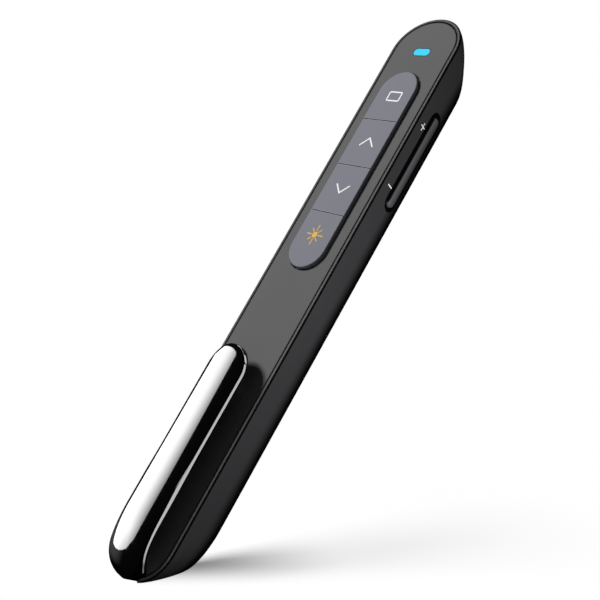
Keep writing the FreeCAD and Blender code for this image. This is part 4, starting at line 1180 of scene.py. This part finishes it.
def make_lamp(name, place, target, size, power):
    """Round lamp that no mirrored ray sees."""
    data = bpy.data.lights.new(name, "AREA")
    data.shape = "DISK"
    data.size = size
    data.energy = power
    lamp = new_object(name, data)
    lamp.matrix_world = aim(place, target)
    lamp.visible_glossy = False
    return lamp


def light_only(light, names):
    """Lets a lamp or glowing board light only the named objects."""
    receivers = bpy.data.collections.new(light.name + "_lights")
    for name in names:
        receivers.objects.link(bpy.data.objects[name])
    light.light_linking.receiver_collection = receivers


def spare(light, names):
    """Keeps a lamp's light off the named objects."""
    light_only(light, names)
    for entry in light.light_linking.receiver_collection.collection_objects:
        entry.light_linking.link_state = "EXCLUDE"


def sheet_object(name, corners, material):
    """Flat studio board from its corners, fanned from its middle."""
    corners = [Vector(corner) for corner in corners]
    middle = sum(corners, Vector()) / len(corners)
    count = len(corners)
    mesh = new_mesh(name, corners + [middle], [(k, (k + 1) % count, count) for k in range(count)])
    mesh.materials.append(material)
    obj = new_object(name, mesh)
    return obj


def mirrored_only(obj):
    """Only mirrored rays see this board."""
    obj.visible_camera = False
    obj.visible_diffuse = False
    obj.visible_transmission = False
    obj.visible_shadow = False
    obj.visible_volume_scatter = False


def glow_material(name, strength, slopes=()):
    """Plain glow, times a step along an axis for each slope."""
    material, tree = bare_material(name)
    output = add(tree, "ShaderNodeOutputMaterial", 600, 0)
    glow = add(tree, "ShaderNodeEmission", 300, 0)
    glow.inputs["Strength"].default_value = strength
    place = place_in_frame(tree, -600, 0)
    level = None
    for axis, *limits in slopes:
        step = slope(tree, place[axis], *limits)
        level = step if level is None else maths(tree, "MULTIPLY", level, step)
    if level is not None:
        tree.links.new(level, glow.inputs["Color"])
    tree.links.new(glow.outputs[0], output.inputs["Surface"])
    return material


def spill_material(name, strength, centre, inner, outer):
    """Glow that fades away round a centre, as light spilt on a dark wall."""
    material = glow_material(name, strength)
    tree = material.node_tree
    place, glow = (next(node for node in tree.nodes if node.type == kind)
                   for kind in ("TEX_COORD", "EMISSION"))
    distance = add(tree, "ShaderNodeVectorMath", -400, -200, operation="DISTANCE")
    distance.inputs[1].default_value = centre
    tree.links.new(place.outputs["Object"], distance.inputs[0])
    tree.links.new(slope(tree, distance.outputs["Value"], inner, outer, 1.0, 0.0), glow.inputs["Color"])
    return material


# Painted shadow on the floor: distances from the contact point and the glow levels over them, and where in
# front of the contact the painted shadow fades out.
FLOOR_NEAR, FLOOR_FAR, FLOOR_FRONT = (-10 * MM, 40 * MM), (40 * MM, 120 * MM), (-9 * MM, 4.5 * MM)
FLOOR_NEAR_SHARE, FLOOR_FAR_SHARE = (0.07, 0.84), (0.0, 0.16)
PAPER = (0.15, 0.15, 0.15, 1.0)


def floor_material():
    """Pale floor: white to the camera and see-through from behind, with a painted shadow. Its glow is low
    near the contact point and rises with distance, the floor lamp's diffuse light makes up the rest, so the
    painted shadow shows only where the lamp's real shadow falls; in front of the contact the glow is full.
    """
    material, tree = bare_material("pale_floor")
    output = add(tree, "ShaderNodeOutputMaterial", 900, 0)
    paper = add(tree, "ShaderNodeBsdfDiffuse", 0, 0)
    paper.inputs["Color"].default_value = PAPER
    shade = add(tree, "ShaderNodeBsdfDiffuse", 0, -150)
    place = add(tree, "ShaderNodeTexCoord", -900, -400)
    distance = add(tree, "ShaderNodeVectorMath", -700, -400, operation="LENGTH")
    tree.links.new(place.outputs["Object"], distance.inputs[0])
    near = slope(tree, distance.outputs["Value"], *FLOOR_NEAR, *FLOOR_NEAR_SHARE)
    far = slope(tree, distance.outputs["Value"], *FLOOR_FAR, *FLOOR_FAR_SHARE)
    front = slope(tree, place_in_frame(tree, -900, -600)[1], *FLOOR_FRONT, 0.0, 1.0)
    # Painted shadow: how far the glow falls short of white, faded out in front of the contact.
    painted_shadow = maths(tree, "SUBTRACT", 1.0, maths(tree, "ADD", near, far))
    even = maths(tree, "SUBTRACT", 1.0, maths(tree, "MULTIPLY", painted_shadow, front))
    tree.links.new(maths(tree, "SUBTRACT", 1.0, even), shade.inputs["Color"])
    glow = add(tree, "ShaderNodeEmission", 0, -300)
    tree.links.new(even, glow.inputs["Strength"])
    seen = add(tree, "ShaderNodeAddShader", 250, -200)
    tree.links.new(shade.outputs[0], seen.inputs[0])
    tree.links.new(glow.outputs[0], seen.inputs[1])
    choose = add(tree, "ShaderNodeMixShader", 450, 0)
    tree.links.new(direct_rays(tree, -300, 500), choose.inputs[0])
    tree.links.new(paper.outputs[0], choose.inputs[1])
    tree.links.new(seen.outputs[0], choose.inputs[2])
    clear = add(tree, "ShaderNodeBsdfTransparent", 450, -250)
    behind = add(tree, "ShaderNodeNewGeometry", 450, 300)
    side = add(tree, "ShaderNodeMixShader", 700, 0)
    tree.links.new(behind.outputs["Backfacing"], side.inputs[0])
    tree.links.new(choose.outputs[0], side.inputs[1])
    tree.links.new(clear.outputs[0], side.inputs[2])
    tree.links.new(side.outputs[0], output.inputs["Surface"])
    return material


def floor_axes():
    """Right, deep and up directions of the floor."""
    lean = bpy.context.scene.clicker_stage.floor_lean
    up = (-CAMERA_DOWN * math.cos(lean) - CAMERA_AHEAD * math.sin(lean)).normalized()
    right = CAMERA_RIGHT.normalized()
    return right, up.cross(right).normalized(), up


def make_floor():
    """Lays the floor under the lowest point of the tub and returns that point."""
    right, deep, up = floor_axes()
    low = min((corner.co for obj in frame["nodes"].values() for corner in obj.data.vertices),
              key=lambda point: point.dot(up))
    across = FLOOR_STEPS + 1
    ticks = [FLOOR_HALF * (2 * step / FLOOR_STEPS - 1) for step in range(across)]
    verts = [(x, y, 0) for y in ticks for x in ticks]
    faces = [(k, k + 1, k + across + 1, k + across)
             for row in range(FLOOR_STEPS) for k in range(row * across, row * across + FLOOR_STEPS)]
    mesh = new_mesh("floor", verts, faces)
    mesh.materials.append(floor_material())
    floor = new_object("floor", mesh)
    turn = Matrix((right, deep, up)).transposed().to_4x4()
    contact = Vector(low) - up * FLOOR_GAP
    floor.matrix_world = Matrix.Translation(contact) @ turn
    floor.visible_glossy = False
    return contact


def make_world():
    """White surroundings that light the object only a little."""
    stage = bpy.context.scene.clicker_stage
    world = bpy.data.worlds.new("studio")
    bpy.context.scene.world = world
    world.use_nodes = True
    tree = world.node_tree
    tree.nodes.clear()
    output = add(tree, "ShaderNodeOutputWorld", 600, 0)
    sky = add(tree, "ShaderNodeBackground", 300, 0)
    sky.inputs["Color"].default_value = (1, 1, 1, 1)
    level = slope(tree, direct_rays(tree, -600, 0), 0.0, 1.0, stage.ambient, 1.0, "LINEAR")
    tree.links.new(level, sky.inputs["Strength"])
    tree.links.new(sky.outputs[0], output.inputs["Surface"])


CARD_X, WALL_X, LEFT_X = -0.6, 0.6, -0.64
CARD_OUTLINE = ((0.10, 0.212), (0.10, 0.735), (0.04, 0.775), (-0.045, 0.82), (-0.10, 0.845), (-0.16, 0.853),
                (-0.22, 0.845), (-0.27, 0.825), (-0.32, 0.795), (-0.385, 0.745), (-0.42, 0.69),
                (-0.445, 0.60), (-0.465, 0.51), (-0.462, 0.44), (-0.45, 0.37), (-0.43, 0.29),
                (-0.39, 0.215), (-0.34, 0.16), (-0.25, 0.17), (-0.13, 0.182), (0.0, 0.196))
# Each slope is an axis, where it starts and ends, the brightness at both, and how it goes between them.
CARD_SLOPES = ((2, 0.50, 0.85, 1.0, 0.28, "LINEAR"), (1, -0.46, -0.28, 0.6, 1.0, "LINEAR"),
               (1, -0.05, 0.10, 1.0, 0.92))
WALL_OUTLINE = ((-0.84, -0.10), (0.62, -0.10), (0.62, 0.34), (-0.84, 0.34))
WALL_SLOPES = ((1, -0.80, -0.15, 0.3, 1.0),)
FRONT_CORNERS = ((-0.62, 0.7, -0.45), (0.58, 0.7, -0.3), (0.58, 0.7, 0.08), (-0.62, 0.7, 0.16))
BACK_CORNERS = ((-0.3, -0.85, -0.3), (0.62, -0.85, -0.3), (0.62, -0.85, 0.3), (-0.3, -0.85, 0.3))
BACK_SHARE = 0.25
SPILL_GLOW, SPILL_CENTRE, SPILL_INNER, SPILL_OUTER = 0.45, (-0.64, -0.36, 0.24), 0.05, 0.31
LEFT_OUTLINE = ((-1.3, -0.9), (1.3, -0.9), (1.3, 1.3), (-1.3, 1.3))
BLACK_BOARDS = {
    "overhead_board": ((-0.7, -1.3, 1.25), (-0.7, 1.3, 1.25), (1.3, 1.3, 1.25), (1.3, -1.3, 1.25)),
    "rear_board": ((-0.7, -0.9, -0.9), (1.3, -0.9, -0.9), (1.3, -0.9, 1.3), (-0.7, -0.9, 1.3)),
    "right_board": ((1.2, -1.3, -0.9), (1.2, 1.3, -0.9), (1.2, 1.3, 1.3), (1.2, -1.3, 1.3)),
    "lower_board": ((-0.7, -1.3, -0.85), (-0.7, 1.3, -0.85), (1.3, 1.3, -0.85), (1.3, -1.3, -0.85)),
    "front_board": ((-0.7, 1.2, -0.9), (1.3, 1.2, -0.9), (1.3, 1.2, 1.3), (-0.7, 1.2, 1.3)),
}


def make_boards():
    """Bright cards for the glossy clip, and black boards that keep the other reflections dark."""
    stage = bpy.context.scene.clicker_stage
    cards = (
        ("clip_card", [(CARD_X, y, z) for y, z in CARD_OUTLINE],
         glow_material("card_glow", stage.card_glow, CARD_SLOPES)),
        ("wall_card", [(WALL_X, y, z) for y, z in WALL_OUTLINE],
         glow_material("wall_glow", stage.wall_glow, WALL_SLOPES)),
        ("front_card", FRONT_CORNERS, glow_material("front_glow", stage.wall_glow)),
        ("back_card", BACK_CORNERS, glow_material("back_glow", stage.wall_glow * BACK_SHARE)),
        ("left_board", [(LEFT_X, y, z) for y, z in LEFT_OUTLINE],
         spill_material("card_spill", SPILL_GLOW, SPILL_CENTRE, SPILL_INNER, SPILL_OUTER)))
    for name, corners, material in cards:
        card = sheet_object(name, corners, material)
        mirrored_only(card)
        light_only(card, ["clip_gloss"])
    black = glow_material("black_board", 0.0)
    for name, corners in BLACK_BOARDS.items():
        mirrored_only(sheet_object(name, corners, black))


def make_lamps(contact):
    """Key lamp over the left shoulder, a small one beside the tub, one below and one for the floor."""
    stage = bpy.context.scene.clicker_stage
    key = make_lamp("key_lamp", PANEL_CENTRE + KEY_LAMP_WAY.normalized() * LAMP_DISTANCE, PANEL_CENTRE,
                    KEY_LAMP_SIZE, stage.key_power)
    spare(key, ["floor"])
    side = make_lamp("side_lamp", SIDE_LAMP, SIDE_TARGET, SIDE_LAMP_SIZE, stage.side_power)
    light_only(side, ["bottom_shell", "volume_rocker", "sign_plus", "sign_minus"])
    under = make_lamp("lower_lamp", LOWER_LAMP, PANEL_CENTRE, LOWER_LAMP_SIZE, stage.under_power)
    spare(under, ["floor"])
    right, deep, up = floor_axes()
    away = (up - right * FLOOR_LAMP_RIGHT - deep * FLOOR_LAMP_DEEP).normalized()
    floor_lamp = make_lamp("floor_lamp", contact + away * LAMP_DISTANCE, contact, FLOOR_LAMP_SIZE,
                           stage.shadow_power)
    light_only(floor_lamp, ["floor"])


class CLICKER_OT_stage(PieceOperator, bpy.types.Operator):
    """Sets up the camera, floor, lamps, boards and the white surroundings"""
    bl_idname = "clicker.stage"
    bl_label = "Camera, lamps and floor"

    def execute(self, context):
        context.scene.view_settings.view_transform = "Standard"
        make_camera()
        make_world()
        make_lamps(make_floor())
        make_boards()
        return {"FINISHED"}


STEPS = (CLICKER_OT_tub, CLICKER_OT_panel, CLICKER_OT_keys, CLICKER_OT_rocker, CLICKER_OT_slider,
         CLICKER_OT_clip, CLICKER_OT_battery, CLICKER_OT_receiver, CLICKER_OT_board, CLICKER_OT_laser,
         CLICKER_OT_stage)
SETTINGS = {"clicker_finish": ClickerFinish, "clicker_signs": ClickerSigns, "clicker_clip": ClickerClip,
            "clicker_stage": ClickerStage}


class CLICKER_PT_panel(bpy.types.Panel):
    """Lists the steps and their settings in the sidebar"""
    bl_label = "Presentation clicker"
    bl_space_type = "VIEW_3D"
    bl_region_type = "UI"
    bl_category = "Clicker"

    def draw(self, context):
        for step in STEPS:
            self.layout.operator(step.bl_idname)
        for name, group_class in SETTINGS.items():
            box = self.layout.box()
            for label in group_class.__annotations__:
                box.prop(getattr(context.scene, name), label)


def register():
    for group_class in SETTINGS.values():
        bpy.utils.register_class(group_class)
    for name, group_class in SETTINGS.items():
        setattr(bpy.types.Scene, name, PointerProperty(type=group_class))
    for step in STEPS + (CLICKER_PT_panel,):
        bpy.utils.register_class(step)


def unregister():
    for step in reversed(STEPS + (CLICKER_PT_panel,)):
        bpy.utils.unregister_class(step)
    for name, group_class in SETTINGS.items():
        delattr(bpy.types.Scene, name)
        bpy.utils.unregister_class(group_class)


def main():
    register()
    for step in STEPS:
        group_name, operator_name = step.bl_idname.split(".")
        getattr(getattr(bpy.ops, group_name), operator_name)()


if __name__ == "__main__":
    main()
